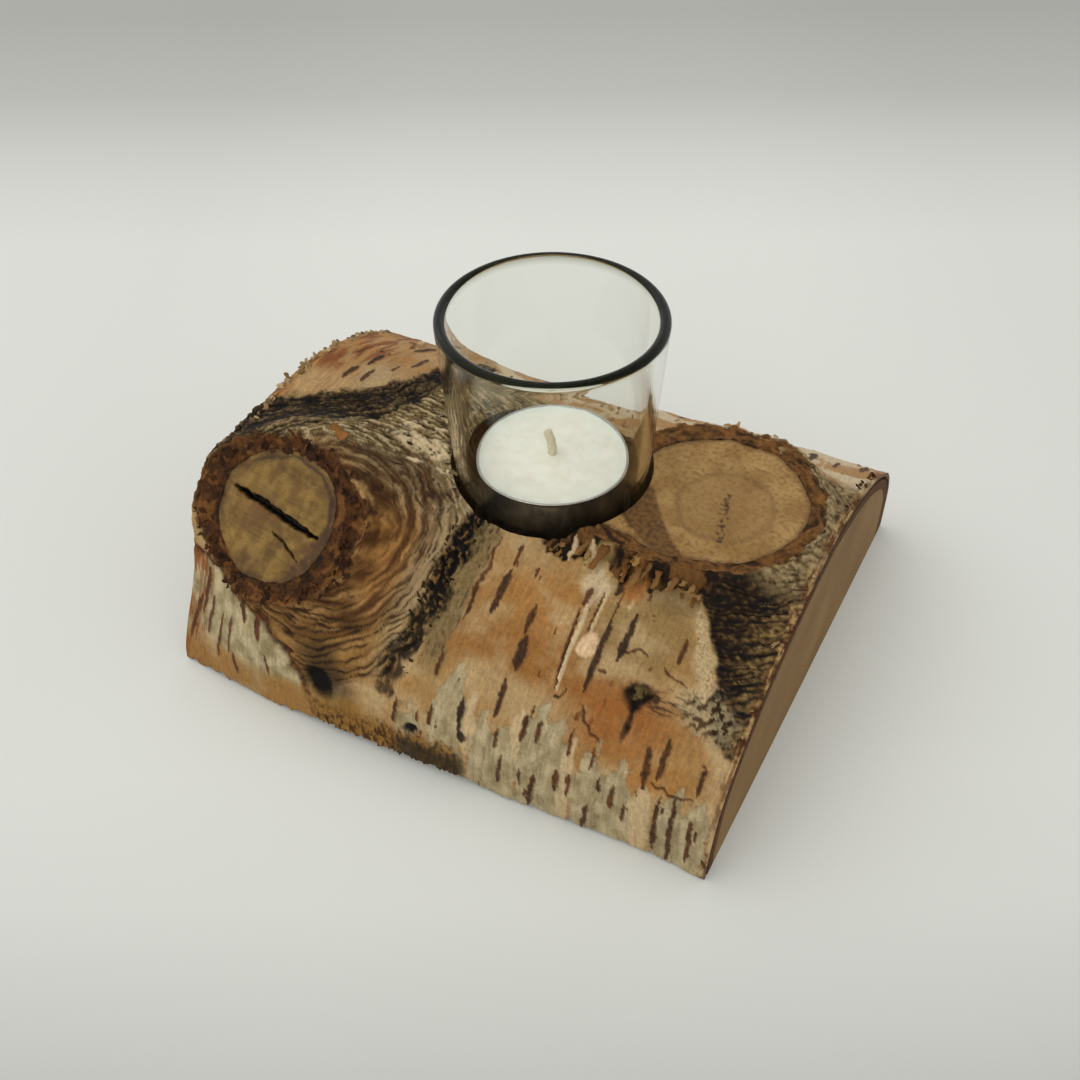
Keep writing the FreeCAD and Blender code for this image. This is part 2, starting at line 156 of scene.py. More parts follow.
def path_distance(x, v, points):
    """How far each place lies from a line through points: the distance, and how far along the line the
    nearest point of it is (0 to 1). Then the distance again, with a sign: over 0 on the line's left.
    """
    best, along, side = np.full(np.shape(x), 1e9), np.zeros(np.shape(x)), np.zeros(np.shape(x))
    count = len(points) - 1
    for i, ((x0, v0), (x1, v1)) in enumerate(zip(points, points[1:])):
        dx, dv = x1 - x0, v1 - v0
        share = unit(((x - x0) * dx + (v - v0) * dv) / (dx * dx + dv * dv))
        away = np.hypot(x - x0 - share * dx, v - v0 - share * dv)
        nearer = away < best
        best = np.where(nearer, away, best)
        along = np.where(nearer, (i + share) / count, along)
        side = np.where(nearer, np.where(dx * (v - v0) > dv * (x - x0), away, -away), side)
    return best, along, side


def stroke(x, v, points, width, soft=0.4):
    """1 within half the width of a line through points, 0 outside it. It thins out at both ends."""
    away, along, _ = path_distance(x, v, points)
    half = width / 2 * unit(4 * along * (1 - along) + 0.35)
    return fade(away, half * (1 - soft), half * (1 + soft))


def blur(field, cells):
    """Gaussian blur of a 2-D array, its edges carried on outwards."""
    reach = int(math.ceil(3 * cells))
    weights = np.exp(-0.5 * (np.arange(-reach, reach + 1) / cells) ** 2)
    weights /= weights.sum()
    for axis in (0, 1):
        pad = [(reach, reach) if k == axis else (0, 0) for k in (0, 1)]
        wide = np.pad(field, pad, mode="edge")
        size = field.shape[axis]
        field = sum(w * np.take(wide, range(k, k + size), axis=axis) for k, w in enumerate(weights))
    return field


def linear(red, green, blue):
    """A colour as it is mixed: each part from 0 to 255 as seen, turned into light."""
    seen = np.array((red, green, blue)) / 255
    return np.where(seen <= 0.04045, seen / 12.92, ((seen + 0.055) / 1.055) ** 2.4)


# ---------------------------------------------------------------- the log's smooth field


def tree_of(names):
    """One ray-cast tree over CAD nodes, in millimetres."""
    corners, faces = [], []
    for name in names:
        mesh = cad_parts[name].data
        first = len(corners)
        corners.extend(v.co / MM for v in mesh.vertices)
        faces.extend([first + i for i in polygon.vertices] for polygon in mesh.polygons)
    return BVHTree.FromPolygons(corners, faces)


def measured_field(spacing=2.0):
    """The log's radius on a coarse grid, and which of it isn't the bore."""
    tree = tree_of(["wood_body", "left_branch_stub", "right_branch_stub", "inner_bark", "outer_bark"])
    inset = 0.3
    xs = np.linspace(LEFT_END + inset, RIGHT_END - inset, int((RIGHT_END - LEFT_END) / spacing))
    low = math.atan2(1, GIRTH)
    angles = np.linspace(-math.pi / 2 + low, math.pi / 2 - low, int(math.pi * GIRTH / spacing))
    radius = np.zeros((len(xs), len(angles)))
    valid = np.ones_like(radius)
    for i, x in enumerate(xs):
        for j, angle in enumerate(angles):
            way = Vector((0, math.sin(angle), math.cos(angle)))
            hit = tree.ray_cast(Vector((x, 0, 0)) + way * FAR, -way)[0]
            radius[i, j] = math.hypot(hit.y, hit.z)
            if math.hypot(hit.x, hit.y) < BORE_RADIUS + inset and abs(angle) < ON_TOP:
                valid[i, j] = 0
    return xs, angles, radius, valid


def resample(xs, angles, field, x_new, angles_new):
    """A field on one grid, read at the places of another."""
    rows = np.array([np.interp(angles_new, angles, row) for row in field])
    return np.array([np.interp(x_new, xs, column) for column in rows.T]).T


class Grid:
    """A grid over the log's surface: x along its length, angle round it, and the smooth radius."""

    def __init__(self, spacing, coarse):
        xs, angles, radius, valid = coarse
        self.x = np.linspace(LEFT_END, RIGHT_END, int((RIGHT_END - LEFT_END) / spacing) + 1)
        self.angle = np.linspace(-math.pi / 2, math.pi / 2, int(math.pi * GIRTH / spacing) + 1)
        self.X, self.T = np.meshgrid(self.x, self.angle, indexing="ij")
        self.V = self.T * GIRTH
        weight = blur(valid, 1.5)
        filled = blur(radius * valid, 1.5) / np.maximum(weight, 1e-3)
        # Too few measured places lie near the middle of the bore to fill it from, so it takes the mean.
        usable = weight > 0.02
        filled = np.where(usable, filled, filled[usable].mean())
        self.smooth = blur(resample(xs, angles, filled, self.x, self.angle), 1.2 / spacing)
        # The left knot's bark bulges out past the sawn end.
        lumps = 1 + 0.35 * layered(self.V / 4, self.V * 0 + 2, 91)
        self.bulge = -2.2 * spot(self.X, self.V, (LEFT_END, -39), (13, 19), 0, 0.6) * lumps

    def place(self, radius):
        """The 3-D place of each grid point at that radius."""
        return np.stack([self.X + self.bulge, radius * np.sin(self.T), radius * np.cos(self.T)], -1)


# ---------------------------------------------------------------- the two sawn branch faces


CORNER_TURN = -2.44     # the direction of a face's corner: towards -a and -b


class SawnFace:
    """The flat face of a branch trimmed flush: its centre, its own axes and the outlines on it."""

    def __init__(self, centre, normal, wood, ring, seed, corner=0.0):
        self.centre, self.normal, self.corner = np.array(centre), np.array(normal), corner
        self.along = np.array((1.0, 0.0, 0.0))
        self.up = np.cross(self.normal, self.along)
        self.wood, self.ring, self.seed = wood, ring, seed

    def local(self, places):
        """Places as (a, b) on the face: a along the log, b up the face."""
        away = places - self.centre
        return away @ self.along, away @ self.up

    def outline(self, turn, radii, rough, seed):
        """Radius of an uneven oval in the direction turn. radii: towards +a, -a, +b and -b."""
        c, s = np.cos(turn), np.sin(turn)
        ra = np.where(c > 0, radii[0], radii[1])
        rb = np.where(s > 0, radii[2], radii[3])
        oval = 1 / np.sqrt((c / ra) ** 2 + (s / rb) ** 2)
        wobble = layered(2.2 * c + 9, 2.2 * s + 9, seed)
        # The corner is a point drawn out where the branch meets the bore, with a low shoulder beside it.
        around = np.mod(turn - CORNER_TURN + math.pi, 2 * math.pi) - math.pi
        drawn = self.corner * (np.exp(-(around / 0.32) ** 2) + 0.27 * np.exp(-((around - 0.59) / 0.3) ** 2))
        return oval * (1 + rough * wobble + drawn)

    def wood_edge(self, turn):
        return self.outline(turn, self.wood, 0.035, self.seed)

    def ring_edge(self, turn):
        crumble = 0.035 * layered(9 * np.cos(turn), 9 * np.sin(turn), self.seed + 27, 3)
        return self.outline(turn, self.ring, 0.05, self.seed + 20) * (1 + crumble)

    def radius_at(self, grid):
        """The field radius at which each grid direction meets the face's plane."""
        way = np.stack([np.zeros_like(grid.T), np.sin(grid.T), np.cos(grid.T)], -1)
        start = np.stack([grid.X, np.zeros_like(grid.X), np.zeros_like(grid.X)], -1)
        lean = way @ self.normal
        return ((self.centre - start) @ self.normal) / np.maximum(lean, 0.15)


def left_face():
    """From the flat end of the CAD stub: the mean place and direction of its flat polygons."""
    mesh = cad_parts["left_branch_stub"].data
    top = max(mesh.polygons, key=lambda polygon: polygon.normal.z * 10 + polygon.area)
    flat = [p for p in mesh.polygons if p.normal.dot(top.normal) > 0.9999]
    area = sum(p.area for p in flat)
    centre = sum((p.center * p.area for p in flat), Vector()) / area / MM
    return SawnFace(centre, top.normal, (14.8, 18.0, 15.0, 18.2), (23.2, 26.4, 18.2, 23.4), 31)


def right_face():
    low, high = box_mm("right_branch_stub")
    radius = (high[1] - low[1]) / 2
    centre = (high[0] - radius, (low[1] + high[1]) / 2, high[2])
    return SawnFace(centre, (0, 0, 1), (21.4, 23, 21.6, 22.6), (25.6, 29, 26.6, 25.8), 57, 0.34)


# ---------------------------------------------------------------- the bark's regions, relief and colours

# Colours of the bark, from pale to dark.
WHITE = linear(206, 194, 172)
CREAM = linear(188, 164, 124)
STONE = linear(158, 147, 120)
TAN = linear(166, 131, 82)
ORANGE = linear(172, 128, 71)
ASH = linear(132, 122, 98)
OLIVE = linear(110, 92, 58)
RUST = linear(132, 78, 32)
BROWN = linear(92, 58, 26)
UMBER = linear(56, 36, 17)
SOOT = linear(24, 17, 10)


def lenticels(grid, marks, relief, color, depth=0.22):
    """Paints long raised pores that run round the log into relief and color."""
    margin = 2.0
    for x0, v0, v1, width, dark, slant in marks:
        wide = width + margin + abs(slant)
        low, high = min(v0, v1) - margin, max(v0, v1) + margin
        i0, i1 = np.searchsorted(grid.x, (x0 - wide, x0 + wide))
        j0, j1 = np.searchsorted(grid.angle, (low / GIRTH, high / GIRTH))
        if i1 - i0 < 2 or j1 - j0 < 2:
            continue
        part = (slice(i0, i1), slice(j0, j1))
        x, v = grid.X[part], grid.V[part]
        x = x + 0.35 * noise(x * 0.6, v * 0.35, 71) + 0.25 * noise(x * 1.8, v * 1.2, 72)
        line = [(x0 - slant / 2, v0), (x0 + slant / 2, v1)]
        body = stroke(x, v, line, width, 0.3)
        away = path_distance(x, v, line)[0]
        relief[part] += depth * body - 0.3 * depth * fade(away, 0.05 * width, 0.3 * width) * body
        darkness = unit(dark + 0.5 * noise(x * 1.2, v * 0.7, 73))
        shade = mix(mix(BROWN, RUST, 0.35), UMBER * 0.6, darkness)
        color[part] = mix(color[part], shade, body * 0.93)


# Lenticels that stand out on the front, each: x, v of one end, v of the other, width, darkness, slant.
FRONT_MARKS = [
    (6.4, -31, -37, 1.1, 0.2, 0.2), (6.4, -38, -49.5, 1.5, 0.7, -0.2), (15.8, -44, -51, 1.4, 0.5, 0.3),
    (16.9, -51.5, -59, 2.3, 0.8, 0.3), (16.2, -61.5, -69.2, 1.5, 0.6, 0.3), (26.0, -35, -40, 1.5, 0.3, 0.2),
    (33.8, -41, -58, 1.5, 0.8, 0.5), (38.4, -37.2, -49.3, 1.7, 0.9, 0.3), (51.5, -38.5, -45, 1.4, 0.5, 0.2),
    (53.3, -64, -72.5, 1.6, 0.6, 1.3), (56.4, -61, -69.6, 1.4, 0.5, 0.2), (23.7, -67, -72.4, 1.5, 0.5, 0),
    (27.1, -66.7, -72, 1.2, 0.4, 0.2), (35.1, -66, -72, 0.9, 0.4, 0.2), (41.1, -68, -73, 0.9, 0.4, 0.2),
    (8.1, -68, -76, 1.3, 1.0, 0.9), (9.4, -75.6, -77.4, 2.6, 1.0, 0.2), (17.8, -71.5, -76, 1.0, 0.2, 0.2),
    (19.4, -77, -86, 1.2, 0.5, -0.9), (27.6, -79.5, -90, 1.3, 0.5, -1.2), (43.9, -74, -77.4, 1.1, 0.5, 0.1),
    (33.6, -76, -81.5, 1.3, 0.4, 0.1), (36.7, -76, -81.7, 1.2, 0.3, 0.1), (41.4, -82, -90.5, 1.3, 0.5, -0.9),
    (47.2, -74.5, -80.4, 1.5, 0.3, 0.1), (58.2, -73, -89, 1.3, 0.6, 0.2), (61.9, -72, -90.5, 1.2, 0.6, 0.4),
    (65.8, -64, -70, 1.3, 0.6, 0.0), (-0.6, -60.5, -66, 1.1, 0.4, 0.1), (0.7, -72, -76.5, 1.2, 0.4, 0.1),
    (0.8, -44, -52, 0.9, 0.6, 0.0), (-8.5, -73, -79, 1.1, 0.4, -0.2), (66.5, -76, -88, 1.1, 0.4, 0.4),
    (24.6, -79, -84, 0.7, 0.4, 0.1), (50.4, -78, -83, 0.7, 0.3, 0), (12.4, -35, -37.5, 0.6, 0.2, 0),
    (-58.2, -71, -80.5, 1.1, 0.3, -0.6), (-53.8, -65, -70.5, 1.7, 0.4, 1.0), (-49.0, -68, -73, 1.7, 0.3, 1.4),
    (-62.2, -72, -84, 1.1, 0.3, -1.2), (-66.6, -70, -80, 1.3, 0.2, -1.0), (-56.5, -80, -86, 1.3, 0.3, 0.6),
    (-69.6, -64, -76, 1.5, 0.3, -0.8), (-72.5, -72, -84, 1.3, 0.3, -2.6), (-45.5, -76, -81, 0.9, 0.2, 0.8),
    (-63.3, 0.5, 8.2, 1.5, 0.7, 0.3), (-58.7, 2, 10.2, 1.4, 0.6, -0.2), (-61.5, 11, 19.5, 1.6, 0.8, 0.2),
    (-61.0, 20.5, 22.4, 0.8, 0.7, 0), (-63.4, 20.5, 22.2, 0.7, 0.7, 0), (-51.5, 18, 27.5, 1.3, 0.5, 0.3),
    (-57.0, 30.5, 41, 1.9, 0.7, 1.6), (-67.5, 15, 22, 0.9, 0.3, 0.4), (-54.5, 12, 16, 0.8, 0.4, 0.2),
]


def back_marks():
    """Lenticels on the back and at the far left, where nothing sets their places: strewn evenly."""
    rng = np.random.default_rng(11)
    marks = []
    for row in range(9):
        for _ in range(15):
            x = rng.uniform(LEFT_END + 2, RIGHT_END - 2)
            v = 24 + row * 7.4 + rng.uniform(-3, 3)
            long = rng.uniform(2.5, 10)
            width = rng.uniform(0.7, 1.7) * (0.7 + long / 22)
            mark = (x, v, v + long, width, rng.uniform(0.2, 0.7), rng.uniform(-0.5, 0.5))
            if v > 46:
                marks.append(mark)
    return marks


def scatter_marks():
    """Fine short pores over all of the smooth bark."""
    rng = np.random.default_rng(23)
    marks = []
    for _ in range(230):
        x = rng.uniform(LEFT_END + 1, RIGHT_END - 1)
        v = rng.uniform(-90, 90)
        on_front = -3 < x < 50 and v < -24
        if v > 46 or v < -62 or on_front:
            ends = x, v, v + rng.uniform(0.8, 3.2)
            marks.append((*ends, rng.uniform(0.35, 0.8), rng.uniform(0, 0.5), rng.uniform(-0.2, 0.2)))
    return marks


DEPTH = 1.25            # deepens every painted colour: over 1 it is richer, and its darks are darker
DEPTH_GAIN = 1.15


class Paint:
    """Relief in millimetres and colour over the whole grid, laid on one region after another."""

    def __init__(self, grid):
        self.grid = grid
        X, V = self.X, self.V = grid.X, grid.V
        # Wandered coordinates keep every border uneven.
        self.wx = X + 1.1 * layered(X / 6, V / 6, 101)
        self.wv = V + 1.1 * layered(X / 6, V / 6, 106)
        self.broad = layered(X / 15, V / 20, 111)
        self.streak = layered(X * 1.3, V * 0.12, 116)
        self.speck = layered(X * 0.9, V * 0.9, 121, 3)
        self.relief = np.zeros_like(X)
        self.color = np.zeros(X.shape + (3,)) + CREAM
        self.shiny = np.ones_like(X)

    def cover(self, share, color=None, relief=None, lift=None, shiny=None):
        """Lays a colour or a relief over a region, or raises it. share is 0 outside it and 1 inside."""
        if color is not None:
            self.color = mix(self.color, color, share)
        if relief is not None:
            self.relief = mix(self.relief, relief, share)
        if lift is not None:
            self.relief = self.relief + lift * share
        if shiny is not None:
            self.shiny = mix(self.shiny, shiny, share)

    def spot(self, at, radii, turn=0.0, soft=0.25):
        return spot(self.wx, self.wv, at, radii, turn, soft)

    def stroke(self, points, width, soft=0.35):
        return stroke(self.wx, self.wv, points, width, soft)

    def layered(self, long, wide, seed, octaves=4):
        """Layered noise with cells that long along the log and that wide round it, in millimetres."""
        return layered(self.X / long, self.V / wide, seed, octaves)

    def right_of(self, points, soft=0.8):
        """1 on the side of a line through points that lies to the right as it is followed."""
        return ease(-path_distance(self.wx, self.wv, points)[2], -soft, soft)


# The grey sheets along the foot of the front, each: its middle (x), half its width, and its top (v).
GREY_SHEETS = ((5, 4.6, -61.5), (14.5, 3.4, -69), (19.5, 4.4, -68), (27, 3.6, -62), (32, 4.2, -63.5),
               (41.5, 4.6, -67), (48, 4.6, -68), (61.5, 4.0, -70), (67.5, 4.0, -69), (-5, 3.0, -72))


def front_panel(p):
    """The smooth front: cream and tan paper with orange clouds, and greyer sheets along its foot."""
    cloud = p.layered(11, 8, 131)
    p.cover(half_by(0.9 * cloud + 0.3 * p.streak), TAN)
    for at, radii, color, share in (
        ((17, -42), (12, 8), ORANGE, 0.9), ((20, -55), (26, 5.5), linear(156, 112, 58), 0.9),
        ((40, -61), (14, 6), linear(158, 112, 56), 0.8), ((54, -69), (10, 5), ORANGE, 0.85),
        ((41, -40), (12, 13), linear(152, 128, 84), 0.8), ((7, -33), (9, 5), mix(CREAM, TAN, 0.5), 0.7),
        ((4, -50), (6, 14), linear(160, 120, 70), 0.6), ((58, -60), (9, 5), TAN, 0.7),
        ((2, -70), (8, 8), linear(166, 134, 84), 0.7), ((20, -64), (14, 4), CREAM, 0.6),
    ):
        uneven = np.clip(0.85 + 0.8 * cloud, 0.25, 1)
        p.cover(p.spot(at, radii, 0, 0.55) * share * uneven, color)
    p.color *= 0.92
    p.relief += 0.35 * p.broad + 0.06 * p.streak
    # Grey sheets that the tan paper has peeled away from: pointed at the top, wider towards the base.
    mottle = p.layered(3.2, 4.4, 137, 5)
    grey = mix(linear(186, 172, 140), linear(150, 136, 104), unit(0.45 + 0.7 * mottle))
    grey = mix(grey, ASH * 0.8, ease(p.speck, 0.35, 0.7) * 0.4)
    edge_noise = 1.5 * p.layered(3.2, 4.5, 141)
    for x, half, top in GREY_SHEETS:
        depth = np.clip(top - p.V + 1.2 * edge_noise, 0, None)
        side = np.minimum(half, 0.5 * depth) * (depth > 0) - np.abs(p.X - x) + 0.7 * edge_noise
        sheet = ease(side, -0.15, 0.25) * (depth > 0)
        p.cover(np.exp(-((side - 0.15) / 0.22) ** 2) * (depth > 0) * 0.6, BROWN * 1.6)
        p.cover(sheet * 0.92, grey, lift=-0.22)
    for points, width in (
        ([(35.9, -68), (35.4, -80), (35.6, -92)], 3.4), ([(54.2, -73), (54.4, -92)], 4.6),
        ([(10.4, -66), (10.8, -80)], 2.6), ([(22.2, -66), (22.6, -78)], 2.2),
    ):
        p.cover(p.stroke(points, width, 0.25) * 0.8, mix(CREAM, WHITE, 0.25))


def back_and_ends(p):
    """The back, pale with worn tan patches, and the paper above the black band at the left end."""
    worn = ease(p.layered(19, 13, 151) + 0.2 * p.streak, -0.12, 0.22)
    paper = mix(mix(CREAM, WHITE, 0.5), mix(TAN, ORANGE, 0.45), worn * 0.9)
    paper = mix(paper, ASH, np.clip(0.35 * p.speck, 0, 0.35))
    back = ease(p.wv, 28, 36)
    p.cover(back, paper, relief=0.4 * p.broad - 0.22 * worn)
    left = fade(p.wx, -44, -38)
    left *= ease(p.wv - 0.9 * (p.wx + 62), -12, -8) * (1 - 0.8 * ease(p.wv, 46, 60))
    tan = mix(mix(CREAM, TAN, 0.5), TAN * 0.85, half_by(p.broad + 0.4 * p.streak))
    tan = mix(tan, ORANGE, np.clip(p.streak * 1.1 + 0.25 * ease(-p.X, 58, 66), 0, 0.85))
    tan = mix(tan, RUST, ease(layered(p.X * 0.5, p.V / 14, 155, 3), -0.2, 0.3) * ease(-p.X, 54, 66) * 0.85)
    p.cover(left, tan, relief=0.35 * p.broad + 0.12 * p.streak)
    p.cover(p.spot((-66, -6), (9, 9), 40, 0.4) * left * 0.7, mix(CREAM, TAN, 0.25))
    p.cover(p.spot((-55, 6), (7, 9), 20, 0.6) * left * 0.6, mix(CREAM, STONE, 0.5))


def knot_folds(p):
    """Fine folds that wrap the left knot: grey and flaky above it, tan and deeply lined below it."""
    across, down = p.X + 38, p.V + 41
    reach = np.hypot(across, down) + 1.3 * p.layered(9, 9, 161, 3)
    turn = np.arctan2(down, across)
    share = fade(reach, 35.5, 39)
    share *= fade(p.wx, -8, -4)
    fine = ridged(reach * 0.62, turn * 1.5, 165, 2)
    lines = ease(fine, 0.62, 0.92)
    tone = layered(reach * 0.5, turn * 1.6, 171)
    flaky = layered(reach * 0.8, turn * 7.5, 175)
    upper = ease(p.V + 0.35 * (p.X + 25), -38, -24)
    smooth_part = p.spot((-24.5, -46), (6.5, 13), 5, 0.5)
    deep = ease(-p.V, 54, 63)

    color = mix(linear(172, 142, 98), linear(128, 98, 56), half_by(tone))
    color = mix(color, linear(172, 128, 74), smooth_part * 0.75)
    color = mix(color, linear(150, 116, 66), deep * 0.6)
    weathered = mix(linear(186, 170, 138), linear(132, 116, 82), unit(0.45 + 1.1 * flaky))
    weathered = mix(weathered, UMBER, ease(-flaky, 0.22, 0.5) * 0.8)
    color = mix(color, weathered, upper * 0.9)
    # The knot's own brown bleeds out into the folds round it.
    halo = fade(reach, 23, 31) * np.clip(0.55 + 0.7 * tone, 0, 0.85)
    color = mix(color, linear(84, 54, 24), halo)
    right_edge = ease(p.X, -20, -13) * (1 - upper)
    color = mix(color, mix(STONE, CREAM, half_by(tone)), right_edge * 0.6)
    dark_line = lines * unit(0.75 + 0.35 * deep + 0.3 * right_edge - 0.45 * smooth_part)
    color = mix(color, mix(UMBER, BROWN, 0.3), dark_line)
    folds = 0.8 * (0.5 - fine) + 0.3 * tone
    relief = mix(folds * (0.8 + 0.6 * deep), 0.4 * flaky - 0.5 * lines, upper * 0.6)
    p.cover(share, color, relief, shiny=0.2)


def grey_field(p):
    """Weathered grey bark between the black band, the knot's folds and the bore."""
    share = ease(p.wv - 0.5 * (p.wx + 40), -26, -18) * fade(p.wx, -16, -10)
    share *= p.right_of([(-80, -26), (-60, -8.5), (-55, 0), (-47, 13), (-42, 28), (-40, 60)])
    share *= fade(p.wv, 26, 34)
    reach = np.hypot(p.X + 38, p.V + 41)
    turn = np.arctan2(p.V + 41, p.X + 38)
    lines = ridged(reach * 0.75 + 0.35 * p.layered(5, 5, 181, 3), turn * 2.6, 185)
    flaky = layered(reach * 0.75, turn * 7, 191)
    color = mix(linear(146, 128, 90), linear(104, 88, 56), half_by(1.2 * flaky))
    color = mix(color, linear(190, 172, 138), ease(flaky, 0.16, 0.32) * 0.85)
    color = mix(color, UMBER, ease(-flaky, 0.28, 0.5) * 0.8)
    color = mix(color, UMBER, ease(lines, 0.74, 0.9) * 0.85)
    p.cover(share, color, relief=0.45 * flaky - 0.45 * ease(lines, 0.6, 0.95), shiny=0)
    # Peach flakes of old paper left on it.
    for at, radii, turn_by in (
        ((-32.5, -12.5), (6.0, 2.7), 0), ((-26.5, -13.0), (4.4, 2.5), -20), ((-37.5, -7.5), (2.8, 1.2), 20),
        ((-22, -19), (2.2, 1.0), 20), ((-30, -19), (2.4, 0.8), 30), ((-29, -5), (2.4, 1.0), 10),
    ):
        flake = p.spot(at, radii, turn_by, 0.15) * ease(flaky + 0.55, 0.0, 0.2)
        p.cover(flake, linear(200, 182, 150), lift=0.3)


def black_band(p):
    """The black, finely furrowed band above the left knot, from the left end up to the glass."""
    line = [(-80, -35), (-72, -28), (-64, -20), (-57, -12.5), (-50, -3.5), (-45.5, 5), (-43, 14), (-41, 26),
            (-40, 36)]
    away, along, side = path_distance(p.wx, p.wv, line)
    half = mix(11.5, 4.6, ease(along, 0.0, 0.8))
    uneven = 1.2 * p.layered(2.5, 2.5, 201)
    share = fade(away + uneven, half - 1.2, half + 1.2)
    ribs = ridged(side * 0.58 + 0.4 * p.layered(6, 6, 205, 3), along * 6.5, 209)
    top = ease(0.95 - ribs, 0.15, 0.6)
    inner = unit(0.25 + 0.5 * p.speck + 0.5 * ease(-side, 1, 7))
    color = mix(SOOT, mix(linear(84, 64, 38), linear(152, 132, 96), inner), top * (0.5 + 0.5 * inner))
    p.cover(share, color, relief=1.2 * (0.5 - ribs) + 0.2 * p.speck, shiny=0)
    # A thin lip of torn paper along its upper edge.
    torn = np.exp(-((side - half + 0.2 + uneven) / 0.5) ** 2) * (along < 0.8) * (along > 0.02)
    p.cover(torn * 0.55, mix(CREAM, TAN, 0.4), lift=0.25)


def furrow(p):
    """The crumbling black furrow that closes the folds on their right, and the pit under the knot."""
    line = [(-6.5, -26), (-7.5, -36), (-8.8, -43), (-7.6, -50), (-8.6, -58), (-11.5, -64), (-12.5, -72)]
    away, along, _ = path_distance(p.wx, p.wv, line)
    crumbs = p.layered(1.3, 1.7, 221)
    width = 3.6 - 1.6 * along + 1.1 * p.layered(3, 3.4, 225, 3)
    share = fade(away, width - 0.8, width + 1.0)
    color = mix(SOOT, mix(OLIVE, TAN, unit(0.3 + crumbs)), ease(crumbs, 0.2, 0.6) * 0.6)
    p.cover(share * unit(1.25 - 0.55 * along), color, lift=-0.75 + 0.6 * crumbs, shiny=0)
    # Between the furrow and the smooth front: a grey strip with thin dark lines up it.
    strip = ease(p.wx, -6.5, -5) * fade(p.wx, -0.8, 0.4) * fade(-p.V, 60, 68)
    strip *= ease(-p.V, 24, 27)
    hairs = ridged(p.X * 0.9, p.V * 0.10, 231)
    p.cover(strip * 0.85, mix(linear(140, 124, 88), linear(108, 90, 56), half_by(p.speck)), lift=0.15)
    p.cover(strip * ease(hairs, 0.78, 0.93) * 0.75, UMBER, lift=-0.25)
    p.cover(p.stroke([(0.5, -31), (0.9, -42), (0.7, -53)], 0.9, 0.4) * 0.85, BROWN, lift=-0.25)


def under_knot(p):
    """The pale corner under the left knot, its brown border, and the ragged foot beside it."""
    border = [(-80, -60), (-66, -62), (-57, -64.5), (-50, -67), (-43, -71), (-36, -76), (-33, -82),
              (-33, -95)]
    share = p.right_of(border, 0.5)
    mottle = p.layered(4, 4, 241, 5)
    color = mix(linear(188, 174, 142), linear(148, 134, 100), unit(0.45 + 0.9 * mottle))
    color = mix(color, ASH * 0.8, ease(p.speck, 0.3, 0.7) * 0.45)
    color = mix(color, linear(158, 122, 70), ease(-p.wv, 78, 82) * unit(0.7 + p.broad))
    color = mix(color, linear(140, 92, 44), ease(-p.wx, 66.5, 70) * half_by(1.5 * p.streak))
    p.cover(share, color, relief=0.2 * p.broad + 0.08 * mottle, shiny=0.8)
    away = path_distance(p.wx, p.wv, border[:7])[0]
    rim = np.exp(-(away / 0.8) ** 2)
    p.cover(rim * 0.9, mix(UMBER, RUST, unit(0.3 + p.speck)), lift=-0.5)
    # The foot: torn fibres, dark in the middle.
    foot = ease(-p.wv + 1.6 * p.speck, 79.5, 82.5) * ease(p.wx, -36, -30) * fade(p.wx, 8, 11)
    fibres = p.layered(0.9, 2.6, 251)
    color = mix(linear(158, 122, 64), mix(SOOT, RUST, 0.3), ease(fibres, -0.1, 0.25))
    dark = ease(p.X, -12, -6) * ease(-p.V + 1.5 * fibres, 81, 85)
    p.cover(foot * 0.9, mix(color, SOOT, dark * 0.8), relief=0.6 * fibres, shiny=0)
    p.cover(p.spot((-4.5, -80), (2.4, 1.1), 0, 0.4), SOOT * 0.7, lift=-0.6)
    smoke = p.spot((-28.5, -74.5), (8, 5), -35, 0.6)
    p.cover(smoke * 0.7, SOOT * 1.6, shiny=0)
    p.cover(p.spot((-30, -77), (4.4, 3.4), -25, 0.35), SOOT * 0.5, lift=-1.1, shiny=0)
    # A yellowish crust beside it.
    p.cover(p.spot((-22, -81), (9, 2.6), 4, 0.5) * 0.6, linear(150, 116, 56), lift=0.3)


def strips(p):
    """Long pale strips and a thin pale flap on the front."""
    p.cover(p.spot((24.8, -29), (4.4, 6.0), 6, 0.35), linear(174, 148, 102), lift=0.2)
    p.cover(p.spot((26.6, -33.5), (2.9, 5.5), 5, 0.4) * 0.8, mix(WHITE, CREAM, 0.5))
    long_strip = [(26.4, -32), (26.6, -38), (27.4, -44), (27.3, -52), (28.0, -60)]
    for points, width, color, lift in (
        (long_strip, 1.1, mix(WHITE, CREAM, 0.7), 0.22),
        ([(25.6, -41), (26.3, -50), (27.3, -59.5)], 0.8, BROWN, -0.3),
        ([(29.9, -33), (30.1, -46)], 0.7, mix(WHITE, CREAM, 0.8), 0.15),
        ([(29.2, -34), (29.3, -46)], 0.45, BROWN, -0.15),
        ([(33.2, -33), (33.3, -41)], 0.6, BROWN, -0.15),
        ([(36.6, -31), (36.0, -37)], 0.8, CREAM, 0.15),
    ):
        p.cover(stroke(p.X + 0.25 * p.speck, p.V, points, width, 0.35), color, lift=lift)
    p.cover(p.spot((31.0, -48.6), (2.1, 2.9), 0, 0.15), linear(206, 180, 146), lift=0.14)
    p.cover(p.stroke([(28.0, -60.5), (29.6, -60.8), (30.0, -58.5)], 0.5), UMBER, lift=-0.15)


